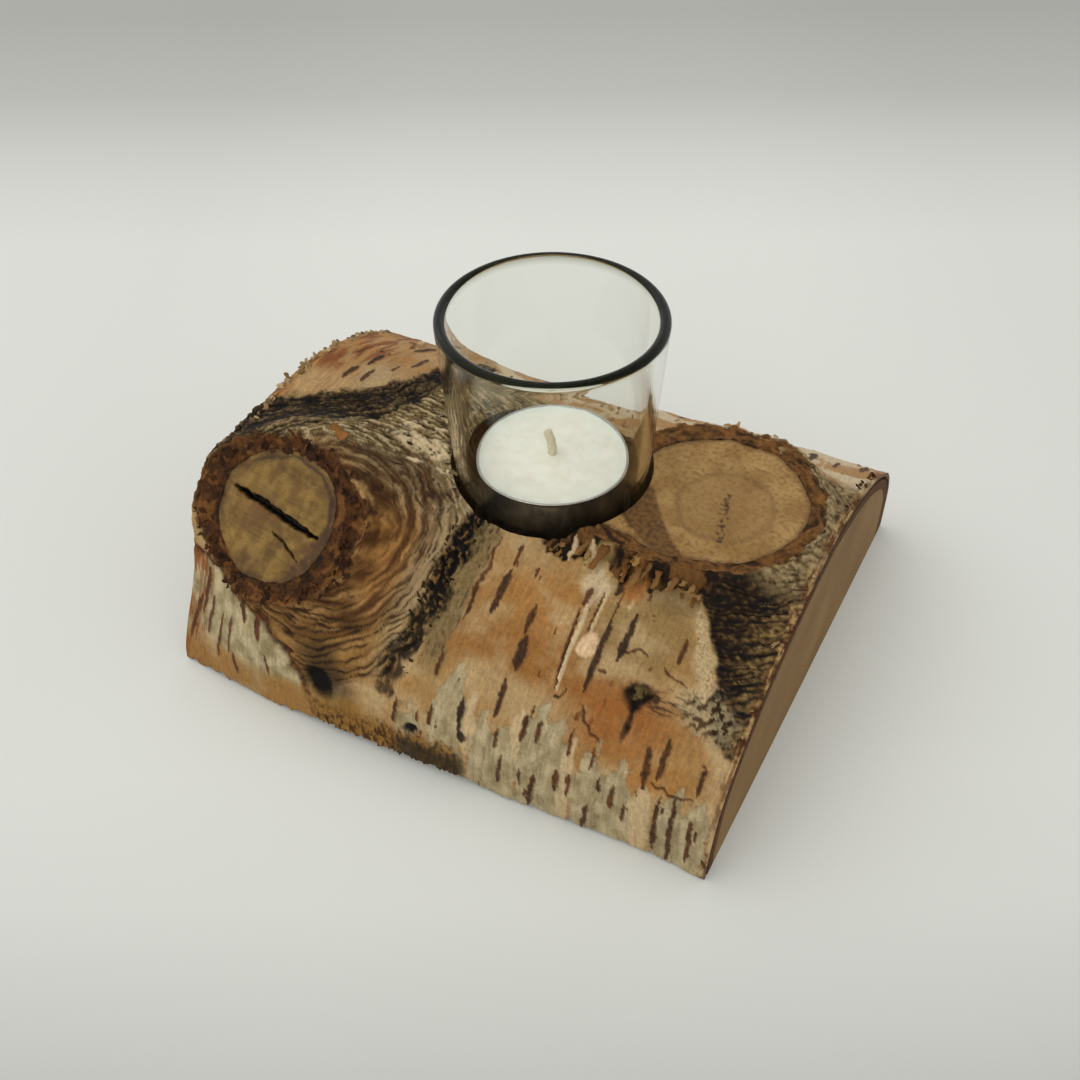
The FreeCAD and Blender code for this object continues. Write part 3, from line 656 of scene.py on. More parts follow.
def fringe(p):
    """The torn fringe in front of the bore and the right knot: its low places dark soot and umber, partly the
    torn bark beneath and partly painted shade between the torn strips, with rust and curled pale tips.
    """
    edge = [(8, -27.5), (13, -29.5), (17, -30), (20, -28), (25, -24.5), (31, -31), (34, -27), (38, -30),
            (44, -26.5), (50, -26), (53, -24)]
    low = np.interp(p.wx, *np.array(edge).T) - 1.6 * np.abs(layered(p.X / 2.2, p.X * 0 + 1, 261, 3))
    share = ease(p.V - low, -0.2, 0.5) * ease(p.wx, 7, 10) * fade(p.wx, 50, 53)
    share *= fade(p.V, -12, -10)
    torn = p.layered(2.6, 6.5, 265)
    # Low places are painted near black: painted shade between the torn strips, over the dark torn bark.
    color = mix(mix(SOOT, UMBER, 0.6), linear(116, 84, 46), ease(torn, 0.02, 0.4))
    p.cover(share, color, relief=0.8 * torn - 0.5, shiny=0)
    p.cover(p.spot((24.5, -25.0), (3.2, 2.8), 10, 0.3) * 0.8, linear(170, 144, 98), lift=0.4)
    # A dark gap between two torn strips: painted shade.
    p.cover(p.stroke([(31.6, -24), (31.6, -34)], 2.6, 0.3) * 0.85, UMBER, lift=-0.3)
    p.cover(p.spot((34.8, -29.5), (2.6, 5.5), 0, 0.4) * 0.85, linear(164, 112, 60))
    p.cover(p.spot((45, -30), (7, 4), 0, 0.6) * 0.5, OLIVE)
    for x, long in ((17.4, 6.0), (22.0, 3.0)):
        tip = stroke(p.wx, p.V, [(x - 0.6, -22.5 - 0.1 * long), (x + 0.5, -24 - long)], 1.3, 0.3)
        p.cover(tip, mix(WHITE, CREAM, 0.7), lift=0.4)


def triangle(p):
    """The dark furrowed bark in front of the right knot, the white streak on its border, the far end."""
    border = [(49.5, -10), (50, -24), (53, -31), (57.5, -38), (61, -45), (60.5, -51), (64.5, -57), (69, -60),
              (80, -63)]
    share = (1 - p.right_of(border, 0.7)) * fade(p.V, -16, -6)
    reach = np.hypot(p.X - 44, p.V - 8) + 1.0 * p.layered(6, 6, 271, 3)
    turn = np.arctan2(p.V - 8, p.X - 44)
    lines = ridged(reach * 0.62, turn * 1.5, 275)
    top = ease(0.95 - lines, 0.1, 0.5)
    flaky = p.layered(1.6, 1.6, 281)
    light = unit(0.08 + 0.60 * ease(p.X, 58, 70) + 0.6 * flaky)
    color = mix(SOOT, mix(linear(74, 49, 22), linear(150, 126, 84), light), top * (0.45 + 0.5 * light))
    p.cover(share, color, relief=0.9 * (0.5 - lines) + 0.25 * flaky, shiny=0)
    blotch = p.spot((63, -54), (7, 4), -20, 0.5)
    p.cover(blotch * 0.8, mix(mix(STONE, CREAM, 0.3), UMBER, ease(flaky, -0.05, 0.2)), lift=0.2 * flaky)
    streak = p.stroke([(51.5, -31), (55, -39), (59, -46), (60, -51)], 3.4, 0.5)
    chalk = mix(linear(198, 178, 140), linear(158, 140, 108), ease(p.speck, -0.3, 0.6))
    p.cover(streak * ease(p.speck + 0.6, 0.0, 0.4) * 0.9, chalk, lift=0.2)

    far = ease(p.wv, -20, -12) * ease(p.wx, 46, 54) * fade(p.wv, 32, 42)
    pale = mix(linear(160, 142, 108), linear(96, 78, 50), unit(0.35 + 0.9 * flaky))
    color = mix(pale, UMBER, ease(lines, 0.66, 0.9) * 0.85)
    p.cover(far, color, relief=0.75 * (0.5 - lines), shiny=0)
    # The bark's raw edge at the right end is flaky, pale and rust.
    end = ease(p.wx + 0.8 * p.speck, 69.6, 71.2)
    flecks = ease(p.streak + 0.4 * flaky, -0.1, 0.4)
    p.cover(end * 0.7, mix(mix(RUST, UMBER, 0.5), mix(CREAM, TAN, 0.4), flecks))


def twig_scar(p):
    """A small scar of a lost twig on the front, with a rust halo and lines that lead away from it."""
    rough = p.layered(1.5, 1.5, 291)
    p.cover(p.spot((45, -60), (11, 7), 8, 0.6) * 0.65, linear(150, 98, 44))
    folds = p.spot((52, -54.5), (8, 2.6), 14, 0.4)
    p.cover(folds * ease(ridged(p.X * 0.12, p.V * 0.8, 295), 0.6, 0.85) * 0.8, UMBER, lift=-0.35)
    scar = p.spot((46, -55), (3.8, 3.2), 20, 0.3) + 0.8 * p.spot((45.8, -61), (0.9, 3.4), 5, 0.5)
    p.cover(unit(scar), mix(SOOT, UMBER, 0.4), lift=0.9 * rough - 0.3, shiny=0)
    heart = p.spot((46, -54.6), (2.4, 2.0), 20, 0.4)
    p.cover(heart, mix(UMBER, linear(112, 98, 60), ease(rough, -0.3, 0.3)), lift=0.5)
    for points in (
        [(39, -47.5), (41.5, -46), (44, -46.6)], [(34.5, -61), (36.5, -64), (42, -66.5)],
        [(49, -47), (52, -49), (55, -49.5)], [(35, -52.6), (38, -52.2)], [(55, -70.5), (60, -72), (65, -71)],
    ):
        p.cover(p.stroke(points, 0.7) * 0.85, BROWN, lift=-0.2)


def bark_surface(grid):
    """The outer bark's relief over the smooth field, its colour, and how glossy it is."""
    p = Paint(grid)
    front_panel(p)
    back_and_ends(p)
    lenticels(grid, back_marks() + scatter_marks(), p.relief, p.color, 0.14)
    knot_folds(p)
    grey_field(p)
    black_band(p)
    furrow(p)
    strips(p)
    under_knot(p)
    twig_scar(p)
    triangle(p)
    fringe(p)
    lenticels(grid, FRONT_MARKS, p.relief, p.color)

    # The paper never dips below its own underside.
    p.relief = np.maximum(p.relief, -DEEPEST)
    # Painted shade in the hollows, and fine mottling everywhere.
    hollow = p.relief - blur(p.relief, 3)
    p.cover(np.clip(-1.3 * hollow, 0, 0.75), p.color * 0.5)
    color = np.clip(p.color * (1 + 0.14 * p.speck + 0.10 * p.streak)[..., None], 0.001, 0.9)
    return p.relief, DEPTH_GAIN * color**DEPTH, p.shiny


# ---------------------------------------------------------------- meshes

WELD = 1e-6             # metres: corners nearer to each other than this are one
WALL_SHADE = 0.35       # how much umber the sides and undersides of a shell take on: the bark's own brown cut edge on the sides, painted shade on the undersides


def cell_corners(field):
    """The values at the four corners of each cell of a grid, in order round it."""
    return field[:-1, :-1], field[1:, :-1], field[1:, 1:], field[:-1, 1:]


def centres(field):
    return sum(cell_corners(field)) / 4


def quad_mesh(name, places, quads):
    """A smooth mesh of many quads, made the fast way from arrays. Places are in millimetres."""
    mesh = bpy.data.meshes.new(name)
    mesh.vertices.add(len(places))
    mesh.vertices.foreach_set("co", (places * MM).astype(np.float32).ravel())
    mesh.loops.add(quads.size)
    mesh.loops.foreach_set("vertex_index", quads.astype(np.int32).ravel())
    mesh.polygons.add(len(quads))
    mesh.polygons.foreach_set("loop_start", np.arange(0, quads.size, 4, dtype=np.int32))
    mesh.polygons.foreach_set("use_smooth", np.ones(len(quads), bool))
    mesh.update(calc_edges=True)
    return mesh


def face_mesh(name, places, faces):
    """A smooth mesh of faces with any number of corners. Places are in millimetres."""
    mesh = bpy.data.meshes.new(name)
    mesh.from_pydata((np.asarray(places) * MM).tolist(), [], faces)
    mesh.validate()
    mesh.polygons.foreach_set("use_smooth", [True] * len(mesh.polygons))
    return mesh


def turn_outward(mesh, weld=False):
    """Turns every face outward, and joins doubled corners first if asked."""
    work = bmesh.new()
    work.from_mesh(mesh)
    if weld:
        bmesh.ops.remove_doubles(work, verts=work.verts, dist=WELD)
        bmesh.ops.dissolve_degenerate(work, edges=work.edges, dist=WELD / 10)
    bmesh.ops.recalc_face_normals(work, faces=work.faces)
    work.to_mesh(mesh)
    work.free()


# What a mesh can carry for its material to read: the attribute's type, and the name of its values.
ATTRIBUTES = {
    "tint": ("FLOAT_COLOR", "color"),
    "surf": ("FLOAT_VECTOR", "vector"),
    "gloss": ("FLOAT", "value"),
}


def paint_mesh(mesh, **fields):
    """Gives each corner what the materials read: its tint, its place in the bark (surf) and its gloss."""
    for label, values in fields.items():
        kind, field = ATTRIBUTES[label]
        if label == "tint":
            values = np.concatenate([values, np.ones((len(values), 1))], 1)
        layer = mesh.attributes.new(label, kind, "POINT")
        layer.data.foreach_set(field, np.ascontiguousarray(values, dtype=np.float32).ravel())


def add_piece(name, mesh, material, body, node):
    """Shows a mesh as a piece that rides on a body and stands for a CAD node."""
    mesh.materials.append(material)
    piece = bpy.data.objects.new(name, mesh)
    bpy.context.scene.collection.objects.link(piece)
    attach(piece, body)
    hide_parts(node)
    material.name.split(".")[0]
    return piece


def normals_of(places):
    """Outward unit normals of a grid of places."""
    normal = np.cross(np.gradient(places, axis=0), np.gradient(places, axis=1))
    size = np.linalg.norm(normal, axis=-1, keepdims=True)
    return -normal / np.maximum(size, 1e-9)


def shell(name, node, material, top, bottom, keep, color, normals=None, edge=0.45, **more):
    """A closed shell of the kept cells of a grid: a top, a bottom, and walls round every edge of it."""
    rows, columns = keep.shape
    index = np.arange((rows + 1) * (columns + 1)).reshape(rows + 1, columns + 1)
    corner = cell_corners(index)
    tops = np.stack([c[keep] for c in corner], -1)
    wide = np.pad(keep, 1)
    sides = (wide[:-2, 1:-1], 0, 3), (wide[2:, 1:-1], 2, 1), (wide[1:-1, :-2], 1, 0), (wide[1:-1, 2:], 3, 2)
    walls = [np.stack([corner[a][keep & ~there], corner[b][keep & ~there]], -1) for there, a, b in sides]
    walls = np.concatenate(walls)
    used, rim = np.unique(tops), np.unique(walls)
    number, rim_number = np.full((2, index.size), -1)
    number[used], rim_number[rim] = np.arange(len(used)), np.arange(len(rim))
    # Walls have corners of their own, so that the top keeps its own shading up to its edge.
    flat_top, flat_bottom = top.reshape(-1, 3), bottom.reshape(-1, 3)
    places = np.concatenate([flat_top[used], flat_bottom[used], flat_top[rim], flat_bottom[rim]])
    low, wall_top, wall_low = len(used), 2 * len(used), 2 * len(used) + len(rim)
    a, b = rim_number[walls].T
    mesh = quad_mesh(name, places, np.concatenate([
        number[tops][:, ::-1],
        number[tops] + low,
        np.stack([a + wall_top, b + wall_top, b + wall_low, a + wall_low], -1)[:, ::-1],
    ]))
    source = np.concatenate([used, used, rim, rim])
    tint = color.reshape(-1, 3)[source]
    # Sides and undersides keep only edge of their colour and take on umber: painted shade on the undersides,
    # the bark's brown cut edge on the sides.
    tint[low:] = tint[low:] * edge + WALL_SHADE * UMBER
    fields = {label: field.reshape(index.size, -1)[source] for label, field in more.items()}
    paint_mesh(mesh, tint=tint, **fields)
    if normals is not None:
        given = np.zeros((len(places), 3), np.float32)
        given[:low] = normals.reshape(-1, 3)[used]
        mesh.normals_split_custom_set_from_vertices(given.tolist())
    return add_piece(name, mesh, material, "log", node)


def border_points(cells, other):
    """Grid points on the border between some cells and others."""
    def touches(marked):
        a, b, c, d = cell_corners(np.pad(marked, 1))
        return a | b | c | d

    return touches(cells) & touches(other)


def snap(places, points, reach, turn, target, along, up, most):
    """Moves grid points on a ragged border onto a smooth outline: reach and turn about its centre."""
    shift = np.where(points & (np.abs(target - reach) < most), target - reach, 0)[..., None]
    way = np.cos(turn)[..., None] * along + np.sin(turn)[..., None] * up
    return places + shift * way


def outside_bore(places):
    """Pushes places that would hang in the bore back onto its wall."""
    reach = np.hypot(places[..., 0], places[..., 1])
    scale = np.where(reach < BORE_RADIUS, BORE_RADIUS / np.maximum(reach, 1e-6), 1)
    moved = places.copy()
    moved[..., :2] *= scale[..., None]
    return moved


NEAR_FACE = 90          # how far round a branch's face the log's surface may be led onto it
LEAD_IN = 5             # width of the slope that leads the bark onto the face's plane
LEAD_RISE = 6           # the most the face may stand out past the log's smooth surface


class Log:
    """Everything about the log that its pieces share, on one grid."""

    def __init__(self, spacing, coarse, left, right):
        grid = Grid(spacing, coarse)
        self.grid, self.left, self.right, self.spacing = grid, left, right, spacing
        rough = grid.place(grid.smooth)
        self.faces = []
        radius = grid.smooth.copy()
        for face in (left, right):
            plane = face.radius_at(grid)
            a, b = face.local(grid.place(plane))
            reach, turn = np.hypot(a, b), np.arctan2(b, a)
            ring = face.ring_edge(turn)
            rough_a, rough_b = face.local(rough)
            near = np.abs(rough_a) + np.abs(rough_b) < NEAR_FACE
            blend = fade(reach - ring, 0, LEAD_IN)
            radius = np.where(near, mix(radius, np.minimum(plane, radius + LEAD_RISE), blend), radius)
            self.faces.append((a, b, reach, turn, ring, face.wood_edge(turn)))
        # The log is hollowed under the left knot, and its bark flares at the lower right corner.
        radius = radius - 7.0 * spot(grid.X, grid.V, (LEFT_END - 1, -69), (14, 12), 0, 0.9)
        self.radius = radius + 1.4 * spot(grid.X, grid.V, (RIGHT_END, -92), (9, 8), 0, 0.9)

    def regions(self):
        """Which cells are either branch's ring, either branch's wood, and the bore."""
        rings = [centres(reach - ring) < 0 for _, _, reach, _, ring, _ in self.faces]
        woods = [centres(reach - wood) < 0 for _, _, reach, _, _, wood in self.faces]
        place = self.grid.place(self.radius)
        distance = np.hypot(place[..., 0], place[..., 1])
        bore = (centres(distance) < BORE_RADIUS) & (centres(np.abs(self.grid.T)) < ON_TOP)
        return rings, woods, bore

    def snap_all(self, places, rings, woods, bore):
        """Smooths the borders of the cells along rings, woods and bore."""
        for face, cells, wood_cells, data in zip((self.left, self.right), rings, woods, self.faces):
            _, _, reach, turn, ring, wood = data
            for border, target in ((cells, ring), (wood_cells, wood)):
                edge = border_points(border, ~border)
                places = snap(places, edge, reach, turn, target, face.along, face.up, self.spacing)
        reach = np.hypot(places[..., 0], places[..., 1])
        turn = np.arctan2(places[..., 1], places[..., 0])
        edge = border_points(bore, ~bore)
        axes = np.array((1.0, 0, 0)), np.array((0, 1.0, 0))
        return snap(places, edge, reach, turn, BORE_RADIUS, *axes, 1.5 * self.spacing)


# ---------------------------------------------------------------- materials


class Nodes:
    """A small helper for building one material's node tree."""

    def __init__(self, name):
        self.material = bpy.data.materials.new(name)
        self.material.use_nodes = True
        self.tree = self.material.node_tree
        self.shader = self.tree.nodes["Principled BSDF"]

    def add(self, kind, **settings):
        node = self.tree.nodes.new("ShaderNode" + kind)
        for key, value in settings.items():
            setattr(node, key, value)
        return node

    def set(self, node, socket, value):
        """Sets a socket to a number or a colour, or links it to another node's output."""
        socket = node.inputs[socket]
        if hasattr(value, "is_output"):
            self.tree.links.new(value, socket)
        elif np.ndim(value) and socket.type == "RGBA":
            socket.default_value = (*value, 1)
        else:
            socket.default_value = value

    def attribute(self, name, output="Color"):
        return self.add("Attribute", attribute_name=name).outputs[output]

    def coords(self, scale=1, attribute=None, turn=0.0):
        """Coordinates in millimetres, scaled, and turned about the upright: of the object or of the bark."""
        mapping = self.add("Mapping")
        if attribute:
            source, unit = self.attribute(attribute, "Vector"), 1
        else:
            source, unit = self.add("TexCoord").outputs["Object"], 1 / MM
        self.set(mapping, "Vector", source)
        self.set(mapping, "Scale", np.full(3, unit) * scale)
        self.set(mapping, "Rotation", (0, 0, turn))
        return mapping.outputs["Vector"]

    def split(self, vector):
        """The three numbers of a vector, as outputs named X, Y and Z."""
        node = self.add("SeparateXYZ")
        self.set(node, 0, vector)
        return node.outputs

    def length(self, vector):
        node = self.add("VectorMath", operation="LENGTH")
        self.set(node, 0, vector)
        return node.outputs["Value"]

    def noise(self, scale, detail=3.0, rough=0.6, fine=1.0, **coords):
        """Noise with cells of 1 / (scale * fine) millimetres. scale is one number, or one for each axis."""
        vector = self.coords(scale, **coords)
        node = self.add("TexNoise")
        for socket, value in (("Vector", vector), ("Scale", fine), ("Detail", detail), ("Roughness", rough)):
            self.set(node, socket, value)
        return node.outputs["Fac"]

    def ramp(self, factor, *stops):
        """A colour for each value of the factor. Each stop has a place and a colour or a grey."""
        node = self.add("ValToRGB")
        self.set(node, "Fac", factor)
        elements = node.color_ramp.elements
        while len(elements) < len(stops):
            elements.new(0.5)
        for element, (place, color) in zip(elements, stops):
            element.position = place
            element.color = (*(np.ones(3) * color), 1)
        return node.outputs["Color"]

    def mix(self, factor, a, b, blend="MIX"):
        node = self.add("Mix", data_type="RGBA", blend_type=blend)
        for socket, value in ((0, factor), (6, a), (7, b)):
            self.set(node, socket, value)
        return node.outputs[2]

    def tinted(self, color, amount, factor, *stops):
        """A colour multiplied with a ramp, by some amount."""
        return self.mix(amount, color, self.ramp(factor, *stops), "MULTIPLY")

    def math(self, operation, *values, clamp=False):
        node = self.add("Math", operation=operation, use_clamp=clamp)
        for socket, value in enumerate(values):
            self.set(node, socket, value)
        return node.outputs[0]

    def bump(self, height, distance, strength, under=None):
        """A normal bent by a height, over another one if it is given. distance is in millimetres."""
        node = self.add("Bump")
        self.set(node, "Distance", distance * MM)
        self.set(node, "Strength", strength)
        self.set(node, "Height", height)
        if under:
            self.set(node, "Normal", under)
        return node.outputs["Normal"]

    def finish(self, color, roughness, normal=None, **fixed):
        self.set(self.shader, "Base Color", color)
        self.set(self.shader, "Roughness", roughness)
        if normal:
            self.set(self.shader, "Normal", normal)
        for socket, value in fixed.items():
            self.set(self.shader, socket.replace("_", " "), value)
        return self.material


def bark_material():
    """Papery birch bark: painted tint, fine fibres running round the log, dust, and a satin sheen."""
    n = Nodes("birch_bark")
    tint, gloss = n.attribute("tint"), n.attribute("gloss", "Fac")
    fibre = n.noise((2.6, 0.22, 0.3), 5, 0.65, attribute="surf")
    grit = n.noise(1, 5, 0.7, 2.3)
    color = n.tinted(tint, 0.34, fibre, (0.30, (0.52, 0.50, 0.47)), (0.5, 1), (0.72, (1.25, 1.24, 1.2)))
    color = n.tinted(color, 0.6, grit, (0.28, (0.45, 0.42, 0.38)), (0.48, 1), (0.75, 1.2))
    rough = n.math("MULTIPLY_ADD", gloss, -0.22, 0.80)
    rough = n.math("MULTIPLY_ADD", grit, 0.22, n.math("SUBTRACT", rough, 0.11), clamp=True)
    normal = n.bump(fibre, 0.12, 0.4, n.bump(grit, 0.22, 0.55))
    return n.finish(color, rough, normal, Specular_IOR_Level=0.18)


def inner_bark_material():
    """Thick red-brown inner bark: crumbly layers."""
    n = Nodes("inner_bark")
    tint = n.attribute("tint")
    lump = n.noise(1, 6, 0.72, 0.9)
    grit = n.noise(1, 4, 0.7, 4.0)
    color = n.tinted(tint, 0.85, lump, (0.3, (0.35, 0.3, 0.26)), (0.5, 1), (0.74, (1.6, 1.5, 1.35)))
    color = n.tinted(color, 0.5, grit, (0.3, 0.4), (0.6, 1.1))
    normal = n.bump(grit, 0.3, 0.7, n.bump(lump, 0.7, 0.8))
    return n.finish(color, 0.85, normal, Specular_IOR_Level=0.2)


def end_wood_material():
    """Sawn birch: pale tan, faint growth rings round the pith, pores and the saw's fine cross marks."""
    n = Nodes("sawn_birch")
    # Rings are worked out from the distance to the pith, which runs along the log below its base.
    from_pith = n.add("VectorMath", operation="ADD")
    n.set(from_pith, 0, n.coords((0, 1, 1)))
    n.set(from_pith, 1, (0, 2, 12))
    waver = n.noise((0.02, 0.06, 0.06), 3, 0.5)
    ring_at = n.math("MULTIPLY_ADD", waver, 9.0, n.length(from_pith.outputs[0]))
    ring = n.math("FRACT", n.math("MULTIPLY", ring_at, 0.33))
    broad = n.noise((0.03, 0.05, 0.05), 3, 0.5)
    pores = n.noise((1.2, 3.2, 3.2))
    saw = n.noise((0.3, 0.15, 2.6), 2, 0.5)
    late = (0.80, 0.76, 0.70)
    color = n.ramp(broad, (0.3, linear(121, 91, 51)), (0.7, linear(140, 109, 64)))
    color = n.tinted(color, 0.30, ring, (0.0, late), (0.25, 1), (0.9, (1.04, 1.04, 1.03)), (1.0, late))
    color = n.tinted(color, 0.45, pores, (0.30, (0.62, 0.58, 0.52)), (0.5, 1), (0.8, 1.08))
    color = n.tinted(color, 0.25, saw, (0.3, (0.75, 0.74, 0.72)), (0.6, 1.05))
    # Painted shade: the bore's wall and floor, everything within its radius, are painted dark brown.
    edge = n.math("MULTIPLY_ADD", n.length(n.coords((1, 1, 0))), -1.0, BORE_RADIUS + 0.6, clamp=True)
    color = n.mix(edge, color, linear(44, 28, 13))
    normal = n.bump(saw, 0.12, 0.4, n.bump(pores, 0.08, 0.4))
    return n.finish(color, 0.7, normal, Specular_IOR_Level=0.2)


def stub_material():
    """Sawn branch wood. tint holds its rings and stains, and the nodes add grain, pores and scratches."""
    n = Nodes("branch_wood")
    tint = n.attribute("tint")
    cloud = n.noise(0.12, 4)
    pores = n.noise(3.4, 3, 0.65)
    scratch = n.noise((0.25, 3.0, 0.25), 3, 0.5, turn=0.5)
    color = n.tinted(tint, 0.5, cloud, (0.3, (1.06, 1.05, 1.02)), (0.7, (0.86, 0.84, 0.80)))
    color = n.tinted(color, 0.5, pores, (0.32, (0.35, 0.3, 0.24)), (0.5, 1), (0.75, (1.25, 1.24, 1.2)))
    color = n.tinted(color, 0.35, scratch, (0.3, (0.72, 0.7, 0.66)), (0.55, 1), (0.8, (1.12, 1.12, 1.1)))
    normal = n.bump(scratch, 0.08, 0.4, n.bump(pores, 0.10, 0.4))
    return n.finish(color, 0.66, normal, Specular_IOR_Level=0.3)


def glass_material():
    """Clear soda-lime glass, faintly green in its depth, with a few smudges. Lamps shine through it."""
    n = Nodes("clear_glass")
    smudge = n.noise((0.05, 0.05, 0.12), 4)
    # The thick rim carries more of the glass's green, and is painted darker still: a painted reflection of
    # dark surroundings.
    rim_low, rim_deep = GLASS_HIGH[2] - 2.4, 2.2
    rim = n.math("MULTIPLY_ADD", n.split(n.coords())["Z"], 1 / rim_deep, -rim_low / rim_deep, clamp=True)
    color = n.ramp(rim, (0.0, (0.955, 0.958, 0.925)), (1.0, (0.33, 0.35, 0.24)))
    rough = n.ramp(smudge, (0.45, 0), (0.8, 0.09))
    n.finish(color, rough, IOR=1.5, Transmission_Weight=1.0, Specular_Tint=(0.30, 0.32, 0.20))
    clear = n.add("BsdfTransparent")
    n.set(clear, "Color", (0.93, 0.94, 0.90))
    pick = n.add("MixShader")
    sources = n.add("LightPath").outputs["Is Shadow Ray"], n.shader.outputs[0], clear.outputs[0]
    for socket, source in enumerate(sources):
        n.set(pick, socket, source)
    n.set(n.tree.nodes["Material Output"], "Surface", pick.outputs[0])
    return n.material


def wax_material():
    """Paraffin wax: milky, slightly translucent, with cloudy patches and tiny pits."""
    n = Nodes("white_wax")
    cloud, fine, specks = n.noise(0.25, 4), n.noise(1.6), n.noise(0.55, 2, 0.5)
    color = n.ramp(cloud, (0.3, linear(238, 235, 220)), (0.7, linear(250, 248, 238)))
    color = n.mix(n.ramp(specks, (0.76, 0), (0.79, 1)), color, linear(168, 162, 146))
    rough = n.math("MULTIPLY_ADD", cloud, 0.25, 0.36)
    normal = n.bump(fine, 0.10, 0.35, n.bump(cloud, 0.5, 0.5))
    return n.finish(color, rough, normal, Subsurface_Weight=0.35, Subsurface_Scale=0.003)


def aluminium_material():
    """Thin drawn aluminium, with fine draw lines up its side."""
    n = Nodes("aluminium_foil")
    lines, dull = n.noise((6, 6, 0.3)), n.noise(0.4)
    # Its grey is painted far darker than bare aluminium: a painted reflection of the dark bore round it.
    color = n.ramp(dull, (0.3, (0.36, 0.34, 0.31)), (0.7, (0.50, 0.48, 0.45)))
    rough = n.math("MULTIPLY_ADD", dull, 0.22, 0.22)
    return n.finish(color, rough, n.bump(lines, 0.05, 0.35), Metallic=1.0)


def steel_material():
    """Tinned steel sheet, faintly mottled."""
    n = Nodes("tinned_steel")
    mottle = n.noise(1.2)
    color = n.ramp(mottle, (0.3, (0.45, 0.45, 0.44)), (0.7, (0.62, 0.62, 0.61)))
    rough = n.math("MULTIPLY_ADD", mottle, 0.2, 0.25)
    return n.finish(color, rough, n.bump(mottle, 0.03, 0.3), Metallic=1.0)


def wick_material():
    """Waxed cotton braid."""
    n = Nodes("cotton_wick")
    fuzz = n.noise((5, 5, 2))
    color = n.ramp(fuzz, (0.3, linear(196, 184, 152)), (0.7, linear(226, 216, 188)))
    return n.finish(color, 0.75, n.bump(fuzz, 0.08, 0.5), Subsurface_Weight=0.1, Subsurface_Scale=0.001)


# ---------------------------------------------------------------- the log's pieces

RING_TONES = ((linear(96, 58, 24), linear(58, 33, 14)), (linear(134, 92, 46), linear(92, 60, 28)))
RING_DEPTH = 3.5        # how far down the rings' bark is modelled
LENGTHS = ("bark_left_end", "bark_left", "bark_middle", "bark_right", "bark_right_end")


def above_base(places):
    """Lifts places that would hang below the log's flat base up to it."""
    places[..., 2] = np.maximum(places[..., 2], 0)
    return places


def ring_paint(data, tones, seed):
    """Relief and colour of a branch's bark ring, on its sawn face."""
    a, b, reach, turn, ring, wood = data
    share = unit((reach - wood) / np.maximum(ring - wood, 1))
    crumbs = layered(a / 2.6, b / 2.6, seed, 5)
    layers = ridged(reach * 0.42 + 0.5 * noise(a / 4, b / 4, seed + 5), turn * 3, seed + 7)
    flecks = ease(layered(turn * 3, reach / 3, seed + 11), 0.15, 0.5)
    relief = 0.45 * crumbs + 0.8 * (layers - 0.6) + 0.25 * share
    color = mix(*tones, half_by(0.8 * crumbs))
    color = mix(color, SOOT, ease(0.56 - layers, -0.05, 0.3) * 0.75)
    color = mix(color, linear(132, 88, 42), flecks * 0.7)
    color = mix(color, mix(TAN, RUST, 0.5), ease(share, 0.85, 0.99) * 0.35)
    color = mix(color, SOOT, np.exp(-((share - 0.02) / 0.05) ** 2) * 0.5)
    return relief, color


